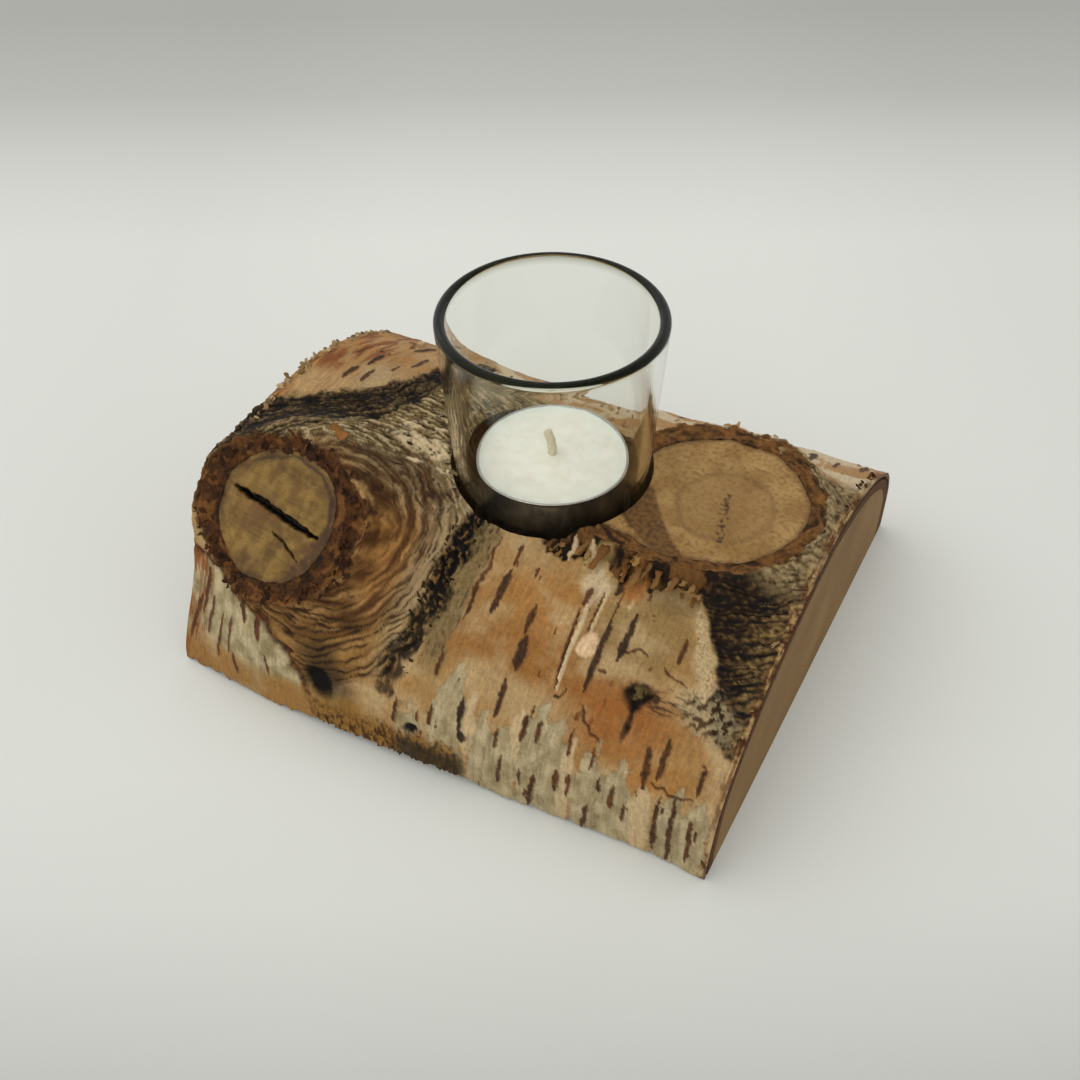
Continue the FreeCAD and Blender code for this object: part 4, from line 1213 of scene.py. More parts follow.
def build_bark(log, coarse_log):
    """The papery outer bark in five lengths, its flakes, both branches' rings, and the inner bark."""
    grid = log.grid
    relief, color, shiny = bark_surface(grid)
    rings, woods, bore = log.regions()
    # The bark swells up to its edge at the rings.
    for _, _, reach, _, ring, _ in log.faces:
        relief = mix(relief, relief * 0.3 + 0.35, fade(reach - ring, 0.2, 2.2))
    top = log.radius + relief
    # The paper's underside follows its top, smoothed, and stays clear of the hollows.
    thin = np.minimum(np.minimum(log.radius - PAPER, blur(top, 2.5) - 0.55), top - THINNEST)
    base_z = top * np.cos(grid.T)
    ragged = 0.5 + 1.8 * np.abs(layered(grid.X / 5, grid.X * 0, 301)) * fade(grid.X, 60, 68)
    ragged = ragged + 1.6 * ease(grid.X, -42, -34) * fade(grid.X, 10, 18)
    below_edge = centres(base_z - ragged) < 0
    keep = ~(rings[0] | rings[1] | woods[0] | woods[1]) & ~bore & ~below_edge
    places = above_base(outside_bore(log.snap_all(grid.place(top), rings, woods, bore)))
    under = above_base(outside_bore(grid.place(thin - 0.1)))
    surf = np.stack([grid.X, grid.V, top], -1)
    fields = {"normals": normals_of(places), "color": color, "surf": surf, "gloss": shiny}
    material = bark_material()
    cuts = np.linspace(0, keep.shape[0], len(LENGTHS) + 1).astype(int)
    for name, first, last in zip(LENGTHS, cuts, cuts[1:]):
        cells, points = slice(first, last), slice(first, last + 1)
        part = {label: field[points] for label, field in fields.items()}
        shell(name, "outer_bark", material, places[points], under[points], keep[cells], **part)
    build_flakes(log, top, material)

    material = inner_bark_material()
    for index, name in enumerate(("left_stub_ring", "right_stub_ring")):
        ring_relief, ring_color = ring_paint(log.faces[index], RING_TONES[index], 401 + 20 * index)
        cells = rings[index] & ~woods[index] & ~bore
        surface = outside_bore(log.snap_all(grid.place(log.radius + ring_relief), rings, woods, bore))
        beneath = outside_bore(grid.place(log.radius - RING_DEPTH))
        shell(name, "inner_bark", material, surface, beneath, cells, ring_color, normals_of(surface))

    grid = coarse_log.grid
    _, woods, bore = coarse_log.regions()
    grain = 0.25 * layered(grid.X / 2, grid.V / 2, 441, 3)
    surface = above_base(outside_bore(grid.place(coarse_log.radius - DEEPEST - 0.7 + grain)))
    beneath = outside_bore(grid.place(coarse_log.radius - BARK))
    tone = mix(linear(110, 70, 34), linear(70, 43, 20), half_by(2 * grain))
    keep = ~(woods[0] | woods[1] | bore)
    shell("inner_bark_layer", "inner_bark", material, surface, beneath, keep, tone, edge=1.0)


# Strips of the front's paper that lift where they were torn, each: x, length, width and heading.
TORN_STRIPS = ((10.5, 5, 2.4, -96), (15, 6.5, 3.2, -84), (20.5, 5.5, 2.6, -98), (24.8, 7.5, 4.0, -88),
               (30.6, 5.5, 2.2, -80), (34.6, 7, 2.8, -94), (39, 5, 2.6, -84), (43.5, 4.5, 2.4, -92))


def flake_rows(log):
    """Where torn flakes of bark stand up: place, length, width, heading, first slope, bend and colour."""
    rng = np.random.default_rng(71)
    rows = []

    def add(count, x_range, v_range, long, wide, heading, slope, bend, colors, keep=None):
        for _ in range(count):
            ranges = (x_range, v_range, long, wide, heading, slope, bend)
            row = [rng.uniform(*ends) for ends in ranges]
            shade, low = rng.random(), rng.random()
            if keep is None or keep(*row[:2]):
                color = mix(mix(colors[0], colors[1], shade), colors[2], 0.8 * max(0.0, low - 0.6) / 0.4)
                rows.append((*row, color))

    def in_grey(x, v):
        by_knot = 27 < math.hypot(x + 38, v + 41) < 40 and v > -34 and -42 < x < -10
        return by_knot or (-34 < x < -14 and -16 < v < 16)

    pale = (linear(196, 172, 136), linear(146, 120, 80), UMBER)
    grey = (linear(186, 172, 142), linear(128, 112, 80), UMBER)
    torn = (linear(136, 98, 50), linear(168, 138, 90), UMBER)
    left_edge, right_edge = (LEFT_END + 0.3, LEFT_END + 2.0), (RIGHT_END - 2.6, RIGHT_END - 0.6)
    add(60, left_edge, (-30, 44), (0.8, 2.4), (0.8, 2.4), (60, 150), (0, 25), (0, 60), pale)
    add(46, (-66, 66), (31, 46), (1.0, 3.2), (0.8, 2.6), (40, 140), (6, 30), (0, 60), pale)
    add(40, right_edge, (-88, 60), (1.2, 4.0), (0.5, 1.5), (-105, -60), (0, 8), (0, 40), pale)
    add(12, (9, 23), (-28, -24), (1.6, 4.0), (0.8, 1.7), (-110, -75), (0, 14), (0, 50), torn)
    add(20, (29, 50), (-28, -23), (1.6, 4.2), (0.8, 1.7), (-110, -70), (0, 14), (0, 50), torn)
    add(230, (-44, -12), (-36, 18), (1.0, 3.2), (0.5, 1.5), (-60, 20), (2, 12), (0, 30), grey, in_grey)
    for turn in np.linspace(0, 2 * math.pi, 150, endpoint=False):
        turn += rng.uniform(-0.03, 0.03)
        reach = float(log.left.ring_edge(np.array(turn))) - rng.uniform(-0.2, 5.0)
        x, y, z = log.left.centre + reach * (math.cos(turn) * log.left.along + math.sin(turn) * log.left.up)
        heading = math.degrees(turn) + rng.uniform(-60, 60)
        color = mix(mix(linear(124, 82, 38), linear(70, 44, 20), rng.random()), SOOT, 0.5 * rng.random())
        place = x, GIRTH * math.atan2(y, z)
        sizes = rng.uniform(0.8, 2.6), rng.uniform(0.6, 1.8)
        rows.append((*place, *sizes, heading, rng.uniform(0, 45), rng.uniform(-20, 60), color))
    for x, long, wide, heading in TORN_STRIPS:
        v = np.interp(x, (10, 24, 30, 50), (-23.5, -22.5, -25, -24))
        color = mix(TAN, RUST, 0.1 + 0.6 * rng.random()) * 0.8
        rows.append((x, v, long, 0.55 * wide, heading, 3, 14, color))
    # Two curls of tan paper by the left knot's upper border, and small dark flakes in the furrow.
    rows.append((-50, -22.5, 8.0, 3.0, -8, 6, 30, linear(152, 108, 58)))
    rows.append((-43.5, -24, 4.0, 2.6, -70, 4, 20, linear(152, 108, 58)))
    add(60, (-12, -5), (-68, -28), (0.8, 2.2), (0.5, 1.1), (60, 120), (5, 40), (0, 60), (UMBER, OLIVE, SOOT))
    return rows


def build_flakes(log, top, material):
    """Small torn flakes of bark, each a thin curved scale that stands up from the surface."""
    along, across, thick, sunk = 6, 3, 0.16, 0.12
    wide_row = across + 1
    count = (along + 1) * wide_row
    grid = log.grid
    steps = grid.x[1] - grid.x[0], grid.angle[1] - grid.angle[0]
    # The corners round a flake's edge, in order.
    loop = list(range(wide_row)) + [k * wide_row + across for k in range(1, along + 1)]
    loop += [along * wide_row + m for m in range(across - 1, -1, -1)]
    loop += [k * wide_row for k in range(along - 1, 0, -1)]
    places, faces, tints = [], [], []
    for x, v, long, wide, heading, slope, bend, color in flake_rows(log):
        angle = v / GIRTH
        row = int(np.clip(round((x - LEFT_END) / steps[0]), 0, top.shape[0] - 1))
        column = int(np.clip(round((angle + math.pi / 2) / steps[1]), 0, top.shape[1] - 1))
        normal = np.array((0, math.sin(angle), math.cos(angle)))
        round_log = np.array((0, math.cos(angle), -math.sin(angle)))
        at = np.array((x, 0, 0)) + (top[row, column] - sunk) * normal
        # A flake that would start past an end, in the bore or at the foot is left out.
        outside = x < LEFT_END + 0.2 or x > RIGHT_END - 0.2
        if outside or math.hypot(at[0], at[1]) < BORE_RADIUS + 0.4 or at[2] < 1.5:
            continue
        turn = math.radians(heading)
        way = math.cos(turn) * np.array((1.0, 0, 0)) + math.sin(turn) * round_log
        side = np.cross(normal, way)
        upper, lower = [], []
        for k in range(along + 1):
            share = k / along
            lean = math.radians(slope + bend * share)
            facing = math.cos(lean) * normal - math.sin(lean) * way
            half = wide / 2 * (1 - 0.5 * share**2.2) * (1 + 0.3 * math.sin(9 * share + x))
            sway = 0.12 * long * share * math.sin(v + 3 * share)
            for m in range(wide_row):
                point = at + (2 * m / across - 1) * half * side + sway * side
                upper.append(point)
                lower.append(point - thick * (1 - 0.6 * share) * facing)
            at = at + long / along * (math.cos(lean) * way + math.sin(lean) * normal)
        first = len(places)
        places.extend(upper + lower)
        # Painted shade: each flake darkens towards its foot, and its underside is painted much darker and
        # browner.
        tints.extend(color * (0.75 + 0.25 * (k // wide_row) / along) for k in range(count))
        tints.extend([mix(color * 0.5, BROWN, 0.4)] * count)
        for k in range(along):
            for m in range(across):
                a = first + k * wide_row + m
                b, c, d = a + 1, a + wide_row + 1, a + wide_row
                faces += [(a, b, c, d), (a + count, d + count, c + count, b + count)]
        for a, b in zip(loop, loop[1:] + loop[:1]):
            faces.append((first + b, first + a, first + a + count, first + b + count))
    mesh = face_mesh("bark_flakes", places, faces)
    turn_outward(mesh)
    tint = DEPTH_GAIN * np.array(tints)**DEPTH
    paint_mesh(mesh, tint=tint, surf=np.array(places), gloss=np.full(len(places), 0.2))
    add_piece("bark_flakes", mesh, material, "log", "outer_bark")


def crack(a, b, points, width, depth):
    """A drying crack on a branch's face: how deep it is at each place."""
    wa = a + 0.35 * layered(a / 2.2, b / 2.2, 501, 3)
    wb = b + 0.35 * layered(a / 2.2, b / 2.2, 505, 3)
    return depth * stroke(wa, wb, points, width, 0.45)


def left_face_paint(a, b, share):
    """The left branch: olive tan, darker to its edge, stained in streaks along its long crack."""
    along = a * math.cos(0.15) - b * math.sin(0.15)
    across = a * math.sin(0.15) + b * math.cos(0.15)
    streaks = layered(along / 3.2, across / 5, 511)
    clouds = layered(a / 7, b / 7, 515)
    rings = ridged(np.hypot(a, b) * 0.30 + 0.25 * clouds, a * 0 + 0.5, 517, 2)
    color = mix(linear(132, 102, 42), linear(104, 76, 30), half_by(0.9 * clouds))
    color = mix(color, linear(158, 126, 68), np.clip(streaks * 0.8, 0, 0.4))
    color = mix(color, linear(96, 66, 30), np.clip(-streaks * 0.8, 0, 0.4))
    color = mix(color, linear(100, 70, 34), ease(rings, 0.75, 1.0) * 0.25)
    # Stained brown to the left of its heart and all along its right and lower border.
    color = mix(color, linear(104, 68, 34), spot(a, b, (-6, -2.5), (4.5, 4), 30, 0.7) * 0.6)
    border = ease(share + 0.12 * clouds + 0.20 * ease(a - 0.3 * b, 4, 16), 0.88, 1.04)
    color = mix(color, mix(linear(66, 42, 18), linear(98, 66, 28), half_by(streaks)), border * 0.9)
    arc_line = np.exp(-((share + 0.05 * clouds - 0.90) / 0.03) ** 2) * ease(b + 0.5 * a, -2, 6)
    color = mix(color, UMBER, arc_line * 0.8)
    grain = layered(across / 0.8, along / 9, 521, 3)
    color = mix(color, color * 0.6, np.clip(grain * 0.9, 0, 0.6))
    depth = crack(a, b, [(-15.5, 1.6), (-7, 0.4), (1, -1.4), (11.5, -3.4)], 1.5, 3.0)
    depth = np.maximum(depth, crack(a, b, [(-1.0, -5.6), (3.5, -7.4), (8.5, -10.4)], 0.45, 1.2))
    # The cracks' insides are painted near black: painted shade.
    color = mix(color, SOOT * 0.35, ease(depth, 0.1, 0.8))
    relief = -depth + 0.10 * streaks + 0.05 * layered(a * 0.9, b * 0.9, 519, 3)
    return relief, color


def right_face_paint(a, b, share):
    """The right branch: tan, with a darker heart round a specked pith and a brown wedge by the bore."""
    clouds = layered(a / 9, b / 9, 531)
    heart = np.hypot((a - 2.2) / 12.4, (b + 2.6) / 12.6) + 0.05 * layered(a / 6, b / 6, 533)
    rings = ridged(heart * 5.5 + 0.1 * clouds, a * 0 + 0.5, 535, 2)
    rays = noise(np.arctan2(b + 1, a - 1) * 16, heart * 1.5, 537)
    color = mix(linear(166, 132, 78), linear(142, 106, 54), half_by(1.1 * clouds))
    grain = layered(a / 1.2, b / 1.2, 541)
    color = mix(color, linear(106, 74, 32), np.clip(0.9 * grain, 0, 0.65))
    color = mix(color, linear(138, 104, 56), fade(heart, 0.86, 1.02) * 0.5)
    color = mix(color, linear(112, 80, 40), np.exp(-((heart - 0.96) / 0.07) ** 2) * 0.5)
    color = mix(color, linear(120, 88, 46), ease(rings, 0.75, 1.0) * 0.22)
    color = mix(color, linear(172, 138, 88), np.clip(rays * 0.2, 0, 0.15))
    # A brown band of bark caught between two parts of the branch runs down from the bore.
    band = [(-19.5, -9), (-13.5, -15.5), (-7, -21), (0, -25.5)]
    away, along, _ = path_distance(a + 0.5 * grain, b + 0.5 * clouds, band)
    half = 5.6 - 3.8 * along + 0.8 * clouds
    dark = mix(linear(74, 46, 12), linear(112, 76, 28), half_by(1.2 * grain))
    color = mix(color, dark, fade(away, half - 0.6, half + 0.6) * 0.95)
    color = mix(color, linear(94, 64, 32), ease(share, 0.93, 1.0) * 0.7)
    specks = 0
    rng = np.random.default_rng(61)
    for share_down in np.concatenate([rng.random(30), rng.normal(0.25, 0.07, 16)]):
        at = (mix(1.1, 5.4, share_down) + rng.normal(0, 0.5), mix(2.2, -14.2, share_down))
        specks = np.maximum(specks, spot(a, b, at, rng.uniform(0.18, 0.42, 2), 8, 0.6))
    color = mix(color, UMBER * 0.9, specks * 0.85)
    depth = 0.4 * specks
    relief = -depth + 0.05 * layered(a * 0.7, b * 0.7, 539, 3) - 0.06 * ease(rings, 0.75, 1.0)
    return relief, color


def build_stub(name, node, face, paint, deep=8.0, spacing=0.33):
    """A branch's sawn face, with its rings, stains and cracks, as a disc with some depth."""
    reach_most = max(face.wood) * (1.12 + face.corner)
    line = np.linspace(-reach_most, reach_most, int(2 * reach_most / spacing))
    a, b = np.meshgrid(line, line, indexing="ij")
    reach, turn = np.hypot(a, b), np.arctan2(b, a)
    edge = face.wood_edge(turn)
    keep = centres(reach - edge) < 0
    relief, color = paint(a, b, reach / edge)
    moved = np.where(border_points(keep, ~keep), edge / np.maximum(reach, 1e-6), 1)
    flat = face.centre + (a * moved)[..., None] * face.along + (b * moved)[..., None] * face.up
    top = flat + (relief - 0.10)[..., None] * face.normal
    under = flat - deep * face.normal
    distance = np.hypot(flat[..., 0], flat[..., 1])
    bore = centres(distance) < BORE_RADIUS
    if bore.any():
        keep &= ~bore
        wall = border_points(keep, bore) & (np.abs(distance - BORE_RADIUS) < 1.5 * spacing)
        scale = np.where(wall, BORE_RADIUS / distance, 1)[..., None]
        top[..., :2] *= scale
        under[..., :2] *= scale
    shell(name, node, stub_material(), top, under, keep, color, normals_of(top))


CUTTER_HEIGHT = 60      # of the cylinder that cuts the bore: enough to reach past the log's top


def build_wood(log):
    """The log's own wood: both sawn ends, the base, the surface under the bark, and the bore."""
    grid = log.grid
    radius = log.radius - BARK
    shares = np.linspace(0, 1, 40)
    quads, places = [], []

    def add_grid(block, flip):
        """Adds a grid of places and its cells to the wood. flip turns the cells over."""
        rows, columns = block.shape[:2]
        index = sum(len(p) for p in places) + np.arange(rows * columns).reshape(rows, columns)
        corner = cell_corners(index)
        quads.append(np.stack([c.ravel() for c in (corner[::-1] if flip else corner)], -1))
        places.append(block.reshape(-1, 3))

    add_grid(grid.place(radius), False)
    for row, flip in ((0, False), (-1, True)):
        turn = grid.angle[None, :]
        reach = shares[:, None] * radius[row][None, :]
        x = grid.x[row] + grid.bulge[row][None, :] * shares[:, None]**3
        add_grid(np.stack([x, reach * np.sin(turn), reach * np.cos(turn)], -1), flip)
    for column, side, flip in ((0, -1, True), (-1, 1, False)):
        reach = radius[:, column][:, None] * shares[None, :]
        x = np.repeat(grid.x[:, None], len(shares), 1)
        add_grid(np.stack([x, side * reach, np.zeros_like(reach)], -1), flip)
    mesh = quad_mesh("log_wood", np.concatenate(places), np.concatenate(quads))
    turn_outward(mesh, weld=True)
    piece = add_piece("log_wood", mesh, end_wood_material(), "log", "wood_body")

    middle = BORE_FLOOR - CLEAR + CUTTER_HEIGHT / 2
    bpy.ops.mesh.primitive_cylinder_add(vertices=192, radius=(BORE_RADIUS + CLEAR) * MM,
                                        depth=CUTTER_HEIGHT * MM, location=(0, 0, middle * MM))
    cutter = bpy.context.object
    cut = piece.modifiers.new("bore", "BOOLEAN")
    cut.operation, cut.solver, cut.object = "DIFFERENCE", "EXACT", cutter
    bored = bpy.data.meshes.new_from_object(piece.evaluated_get(bpy.context.evaluated_depsgraph_get()))
    piece.modifiers.clear()
    piece.data = bored
    bpy.data.objects.remove(cutter)
    bored.set_sharp_from_angle(angle=math.radians(35))


# ---------------------------------------------------------------- glass and tealight


def arc(centre, radius, start, end, count):
    """Points of an arc in a turned outline, from start to end degrees."""
    turns = np.radians(np.linspace(start, end, count))
    return [(centre[0] + radius * math.cos(t), centre[1] + radius * math.sin(t)) for t in turns]


def turned(name, outline, material, body, node, segments, ripple=None):
    """A piece turned about the bore's axis. An outline that starts and ends on the axis closes itself."""
    turns = np.arange(segments) * 2 * math.pi / segments
    start_tip, end_tip = (abs(outline[end][0]) < 1e-6 for end in (0, -1))
    inner = outline[int(start_tip): len(outline) - int(end_tip)]
    places, faces = [], []
    for radius, z in inner:
        reach = radius + (ripple(turns, z) if ripple else 0) + 0 * turns
        places.append(np.stack([reach * np.cos(turns), reach * np.sin(turns), np.full(segments, z)], -1))
    rows = len(inner)
    around = [(i, (i + 1) % segments) for i in range(segments)]
    for k in range(rows - 1 if start_tip or end_tip else rows):
        here, there = k * segments, (k + 1) % rows * segments
        faces += [(here + i, here + j, there + j, there + i) for i, j in around]
    places = np.concatenate(places)
    for has_tip, first, point in ((start_tip, 0, outline[0]), (end_tip, (rows - 1) * segments, outline[-1])):
        if has_tip:
            tip = len(places)
            places = np.concatenate([places, [(0, 0, point[1])]])
            faces += [(tip, first + i, first + j) for i, j in around]
    mesh = face_mesh(name, places, faces)
    turn_outward(mesh)
    return add_piece(name, mesh, material, body, node)


GLASS_FOOT = 23.3       # outside radius of the glass at its foot
GLASS_WALL = 2.7
GLASS_FLARE = 0.45      # how far the soft rim stands out past the cup's own line
GLASS_BASE = 4.6        # thickness of its bottom
GLASS_HOLLOW = 0.8      # depth of the hollow under its foot
GLASS_HEEL = 2.2        # radius of the rounding round its foot
GLASS_CORNER = 3.0      # radius of the corner inside, where the wall meets the floor


def build_glass():
    """The glass: a tapered cup with a heavy bottom, a hollow under its foot and a fire-polished rim."""
    foot_z, rim_z = BORE_FLOOR + CLEAR, GLASS_HIGH[2]
    slope = (GLASS_HIGH[0] + GLASS_FLARE - GLASS_FOOT) / (rim_z - foot_z)
    lean = math.degrees(math.atan(slope))

    def wall(z):
        return GLASS_FOOT + slope * (z - foot_z)

    def hollow(radius):
        return GLASS_HOLLOW * math.cos(radius / 17.0 * math.pi / 2) ** 1.5

    heel, corner, lip = GLASS_HEEL, GLASS_CORNER, GLASS_WALL / 2
    outline = [(r, foot_z + hollow(r)) for r in np.linspace(0, 16.9, 14)]
    outline += [(18.5, foot_z), (20.0, foot_z)]
    outline += arc((wall(foot_z + heel) - heel, foot_z + heel), heel, -90, -lean, 12)
    outline += [(wall(z), z) for z in np.linspace(foot_z + 5, rim_z - 3, 26)]
    outline += arc((wall(rim_z - lip) - lip, rim_z - lip), lip, -lean, 180 - lean, 20)
    floor_z = foot_z + GLASS_BASE
    outline += [(wall(z) - GLASS_WALL, z) for z in np.linspace(rim_z - 3, floor_z + 5, 26)]
    corner_r = wall(floor_z + corner) - GLASS_WALL - corner
    outline += arc((corner_r, floor_z + corner), corner, 0, -90, 12)
    outline += [(r, floor_z) for r in np.linspace(corner_r - 1.5, 0, 10)]
    turned("glass_votive", outline, glass_material(), "glass", "glass_cup", 192)


FOIL = 0.22             # thickness of the can's foil, thicker than real so that it shows
LIP_BEAD = 0.28         # radius of the can's rolled lip
WICK_HOLE = 1.1         # radius of the wax's hole for the wick


def build_can():
    """The tealight's aluminium cup, with its fluted side and rolled lip. Returns its inner radius."""
    low, high = box_mm("tealight_cup")
    side = high[0] - 0.3
    foot_r, foot_z = side - 0.4, low[2] + CLEAR

    def flutes(turns, z):
        share = ease(z, foot_z + 1.5, foot_z + 4) * fade(z, high[2] - 2.5, high[2] - 1)
        return (0.10 * np.cos(turns * 48) + 0.05 * np.cos(turns * 7 + 1)) * share

    outline = [(0, foot_z + 0.6), (12, foot_z + 0.6), (14.2, foot_z + 0.35), (15.4, foot_z)]
    outline += arc((foot_r - 1, foot_z + 1), 1, -90, 0, 6)
    rise = high[2] - foot_z - 1.6
    outline += [(mix(foot_r, side, k), foot_z + 1 + k * rise) for k in np.linspace(0.06, 1, 22)]
    outline += arc((high[0] - LIP_BEAD, high[2] - LIP_BEAD), LIP_BEAD, -60, 180, 10)
    outline += [(side - FOIL, high[2] - 0.8), (side - FOIL, high[2] - 4), (foot_r - FOIL, foot_z + 1.4)]
    outline += [(foot_r - 1.3, foot_z + 0.5), (12, foot_z + 0.95), (0, foot_z + 0.95)]
    turned("tealight_can", outline, aluminium_material(), "tealight", "tealight_cup", 240, flutes)
    return side - FOIL


def build_wax(edge):
    """The wax, with its edge and the place round the wick drawn up, and a faint swell."""
    low, high = box_mm("candle_wax")
    surface_z = high[2] - 0.55
    outline = [(0, low[2] + 0.9), (edge - 1.4, low[2] + 0.9), (edge - 0.6, low[2] + 2)]
    outline += [(edge - 0.05, surface_z - 3), (edge, surface_z - 1), (edge, surface_z + 0.42)]
    for share in np.linspace(0, 1, 34) ** 0.8:
        radius = mix(edge - 0.12, WICK_HOLE + 0.05, share)
        drawn_up = 0.42 * math.exp(-(edge - radius) / 0.8)
        mound = 0.50 * math.exp(-((radius - WICK_HOLE) / 1.5) ** 1.4)
        outline.append((radius, surface_z + drawn_up + mound - 0.12 * math.exp(-((radius - 11) / 5) ** 2)))
    outline += [(WICK_HOLE - 0.4, surface_z + 0.2), (0, surface_z + 0.2)]
    wax = turned("wax_fill", outline, wax_material(), "candle", "candle_wax", 160)
    for vertex in wax.data.vertices:
        x, y, z = vertex.co / MM
        if z > surface_z - 0.4:
            swell = float(layered(np.array(x / 7), np.array(y / 7), 601, 3))
            vertex.co.z += (0.16 * swell) * MM


def build_sustainer():
    """The tinned disc that holds the wick's foot, with its neck."""
    low, high = box_mm("wick_sustainer")
    foot_z, top_z, disc_r = low[2], high[2], high[0]
    outline = [(0, foot_z), (disc_r - 0.15, foot_z), (disc_r, foot_z + 0.15), (disc_r - 0.15, foot_z + 0.3)]
    outline += [(2.4, foot_z + 0.34)] + arc((2.4, foot_z + 1.1), 0.76, -90, -180, 6)
    outline += [(1.6, top_z - 0.1), (1.5, top_z), (1.25, top_z), (1.2, foot_z + 0.6), (0, foot_z + 0.6)]
    turned("sustainer_disc", outline, steel_material(), "candle", "wick_sustainer", 72)


def build_wick():
    """The braided wick: upright in the wax, then bent to the left, with a blunt trimmed tip."""
    low, high = box_mm("wick")
    thick, foot_z = high[0], low[2] + 0.1
    lean = -low[0] - thick
    bend_z = box_mm("candle_wax")[1][2]
    rise = high[2] - 0.85 - bend_z
    bend_radius = (rise**2 + lean**2) / (2 * lean)
    rows, segments, strands = 90, 30, 3
    stem = bend_z - foot_z
    curve = bend_radius * math.asin(min(1, rise / bend_radius))
    places = []
    for k, run in enumerate(np.linspace(0, stem + curve, rows)):
        tilt = max(0.0, run - stem) / bend_radius
        centre = np.array((-bend_radius * (1 - math.cos(tilt)), 0, bend_z + bend_radius * math.sin(tilt)))
        if run <= stem:
            centre = np.array((0, 0, foot_z + run))
        end = min((stem + curve - run) / 0.9, 1)
        blunt = math.sqrt(max(0.0, 1 - (1 - end) ** 2)) * 0.35 + 0.65
        across, side = np.array((math.cos(tilt), 0, math.sin(tilt))), np.array((0, 1.0, 0))
        twist = run * 1.9
        for i in range(segments):
            turn = i * 2 * math.pi / segments
            braid = 0.09 * math.cos(strands * turn + twist) + 0.07 * math.cos(strands * turn - twist)
            fray = 0.025 * math.sin(turn * 5 + k * 1.7)
            radius = thick * (1.0 + braid + fray) * blunt
            places.append(centre + radius * (math.cos(turn) * across + math.sin(turn) * side))
    faces = []
    for first in range(0, (rows - 1) * segments, segments):
        for i in range(segments):
            j = (i + 1) % segments
            faces.append((first + i, first + j, first + segments + j, first + segments + i))
    faces.append(tuple(range(segments))[::-1])
    faces.append(tuple((rows - 1) * segments + i for i in range(segments)))
    add_piece("wick_braid", face_mesh("wick_braid", places, faces), wick_material(), "candle", "wick")


# ---------------------------------------------------------------- stage


CAMERA_TURN = 28.55     # degrees round from the front, towards the right end
CAMERA_RISE = 44.33     # degrees above the floor
CAMERA_ROLL = 0.67
CAMERA_AWAY = 354.75    # mm
CAMERA_OFFSET = (-3.37, 15.32)      # how far the view's middle lies right of the origin and above it
CAMERA_LENS = 42.62
FLOOR_NEAR, FLOOR_FAR = -160, 440   # where the floor's shading starts and ends, in mm away from the camera
# Painted shade on the flat floor at each distance: darker far behind the object, and darker near the camera.
FLOOR_PAINTED_SHADE = ((-160, 0.60), (-126, 0.80), (-95, 0.94), (-60, 1.0), (185, 1.0), (225, 0.93), (262, 0.84),
                (310, 0.69), (400, 0.58))
LAMPS = (("key", (-0.62, -0.20, 1.15), 2.2, 7.2), ("front", (-0.1, -1.3, 0.8), 1.6, 4.0))
LAMPS_AIM = (0, 0, 0.03)


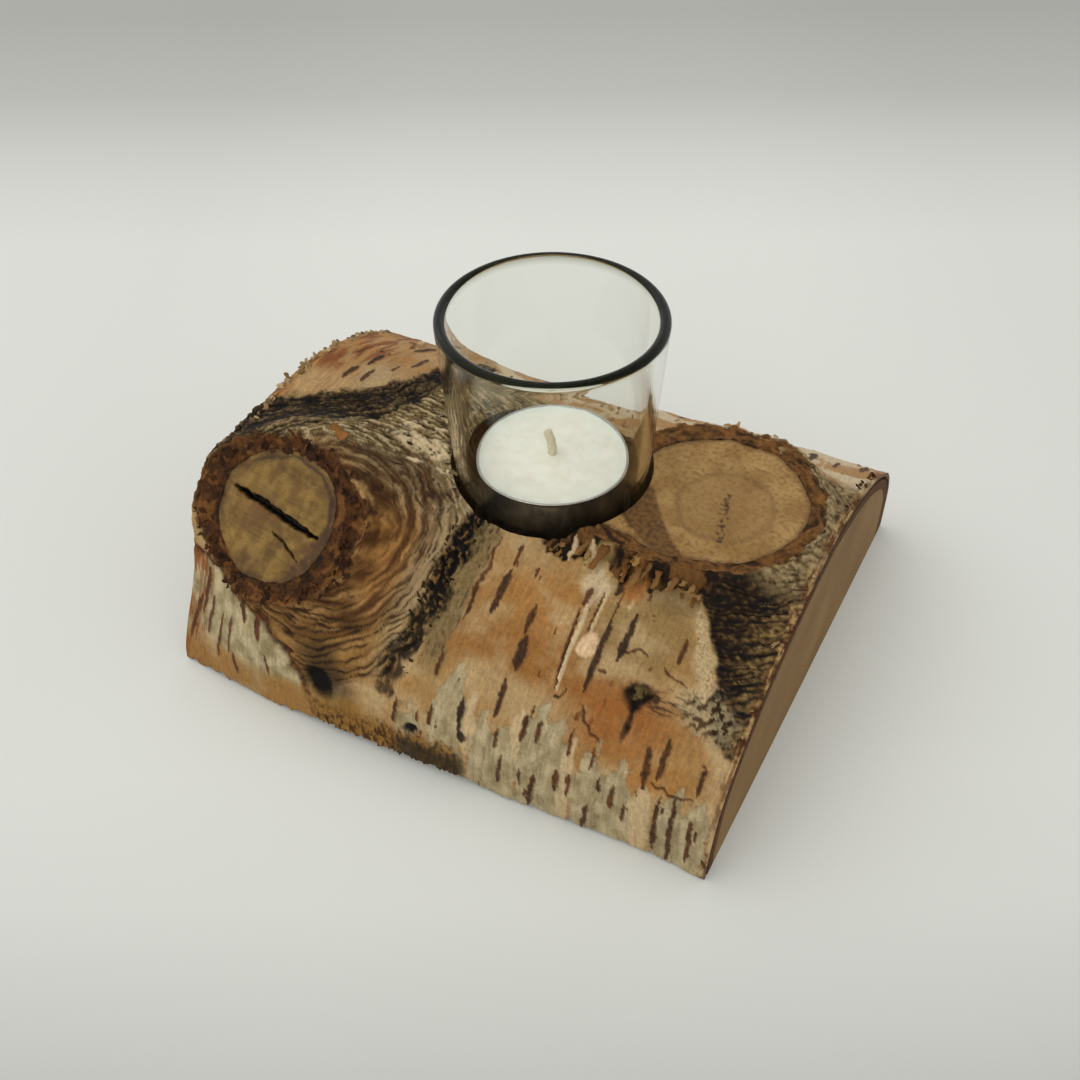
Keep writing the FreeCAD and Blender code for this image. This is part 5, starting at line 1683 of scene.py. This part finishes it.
def build_stage():
    """A pale floor with painted shade far off, near the camera and to the sides, a large soft lamp above, a
    second one in front, and soft light all round.
    """
    bpy.ops.mesh.primitive_plane_add(size=6)
    floor = bpy.context.object
    floor.name = "floor"
    n = Nodes("floor")
    away = n.split(n.coords(turn=-math.radians(CAMERA_TURN)))
    span = FLOOR_FAR - FLOOR_NEAR
    share = n.math("MULTIPLY_ADD", away["Y"], 1 / span, -FLOOR_NEAR / span)
    white = np.array((0.71, 0.715, 0.665))
    color = n.ramp(share, *(((d - FLOOR_NEAR) / span, white * k) for d, k in FLOOR_PAINTED_SHADE))
    # Painted shade towards both sides.
    aside = n.math("MULTIPLY_ADD", away["X"], 1 / 700, 0.5)
    color = n.tinted(color, 1.0, aside, (0.30, 0.95), (0.42, 1), (0.62, 1), (0.74, 0.95))
    floor.data.materials.append(n.finish(color, 0.8, Specular_IOR_Level=0.2))

    for name, place, size, power in LAMPS:
        light = bpy.data.lights.new(name, "AREA")
        light.shape, light.size, light.energy = "SQUARE", size, power
        lamp = bpy.data.objects.new(name, light)
        bpy.context.scene.collection.objects.link(lamp)
        lamp.location = place
        lamp.rotation_euler = (Vector(LAMPS_AIM) - Vector(place)).to_track_quat("-Z", "Y").to_euler()

    world = bpy.data.worlds.new("room")
    bpy.context.scene.world = world
    world.use_nodes = True
    background = world.node_tree.nodes["Background"]
    background.inputs["Color"].default_value = (0.985, 0.99, 0.985, 1)
    background.inputs["Strength"].default_value = 0.79


def build_camera():
    """The camera, as it was worked out from the photo's edges and circles."""
    turn, rise = math.radians(CAMERA_TURN), math.radians(CAMERA_RISE)
    back = Vector((math.sin(turn) * math.cos(rise), -math.cos(turn) * math.cos(rise), math.sin(rise)))
    right = Vector((math.cos(turn), math.sin(turn), 0))
    up = back.cross(right)
    place = (back * CAMERA_AWAY + right * CAMERA_OFFSET[0] + up * CAMERA_OFFSET[1]) * MM
    axes = Matrix((right, up, back)).transposed().to_4x4()
    roll = Matrix.Rotation(math.radians(-CAMERA_ROLL), 4, "Z")
    camera = bpy.data.objects.new("camera", bpy.data.cameras.new("camera"))
    camera.data.lens, camera.data.sensor_width = CAMERA_LENS, 36
    camera.data.clip_start = 0.01
    bpy.context.scene.collection.objects.link(camera)
    camera.matrix_world = Matrix.Translation(place) @ axes @ roll
    bpy.context.scene.camera = camera


def main():
    left, right = left_face(), right_face()
    coarse = measured_field()
    log = Log(STEP, coarse, left, right)
    coarse_log = Log(COARSE, coarse, left, right)
    build_bark(log, coarse_log)
    build_wood(coarse_log)
    build_stub("left_stub_face", "left_branch_stub", left, left_face_paint)
    build_stub("right_stub_face", "right_branch_stub", right, right_face_paint)
    build_glass()
    build_wax(build_can() - 0.10)
    build_sustainer()
    build_wick()
    build_stage()
    build_camera()
    bpy.context.scene.view_settings.view_transform = "Standard"


main()
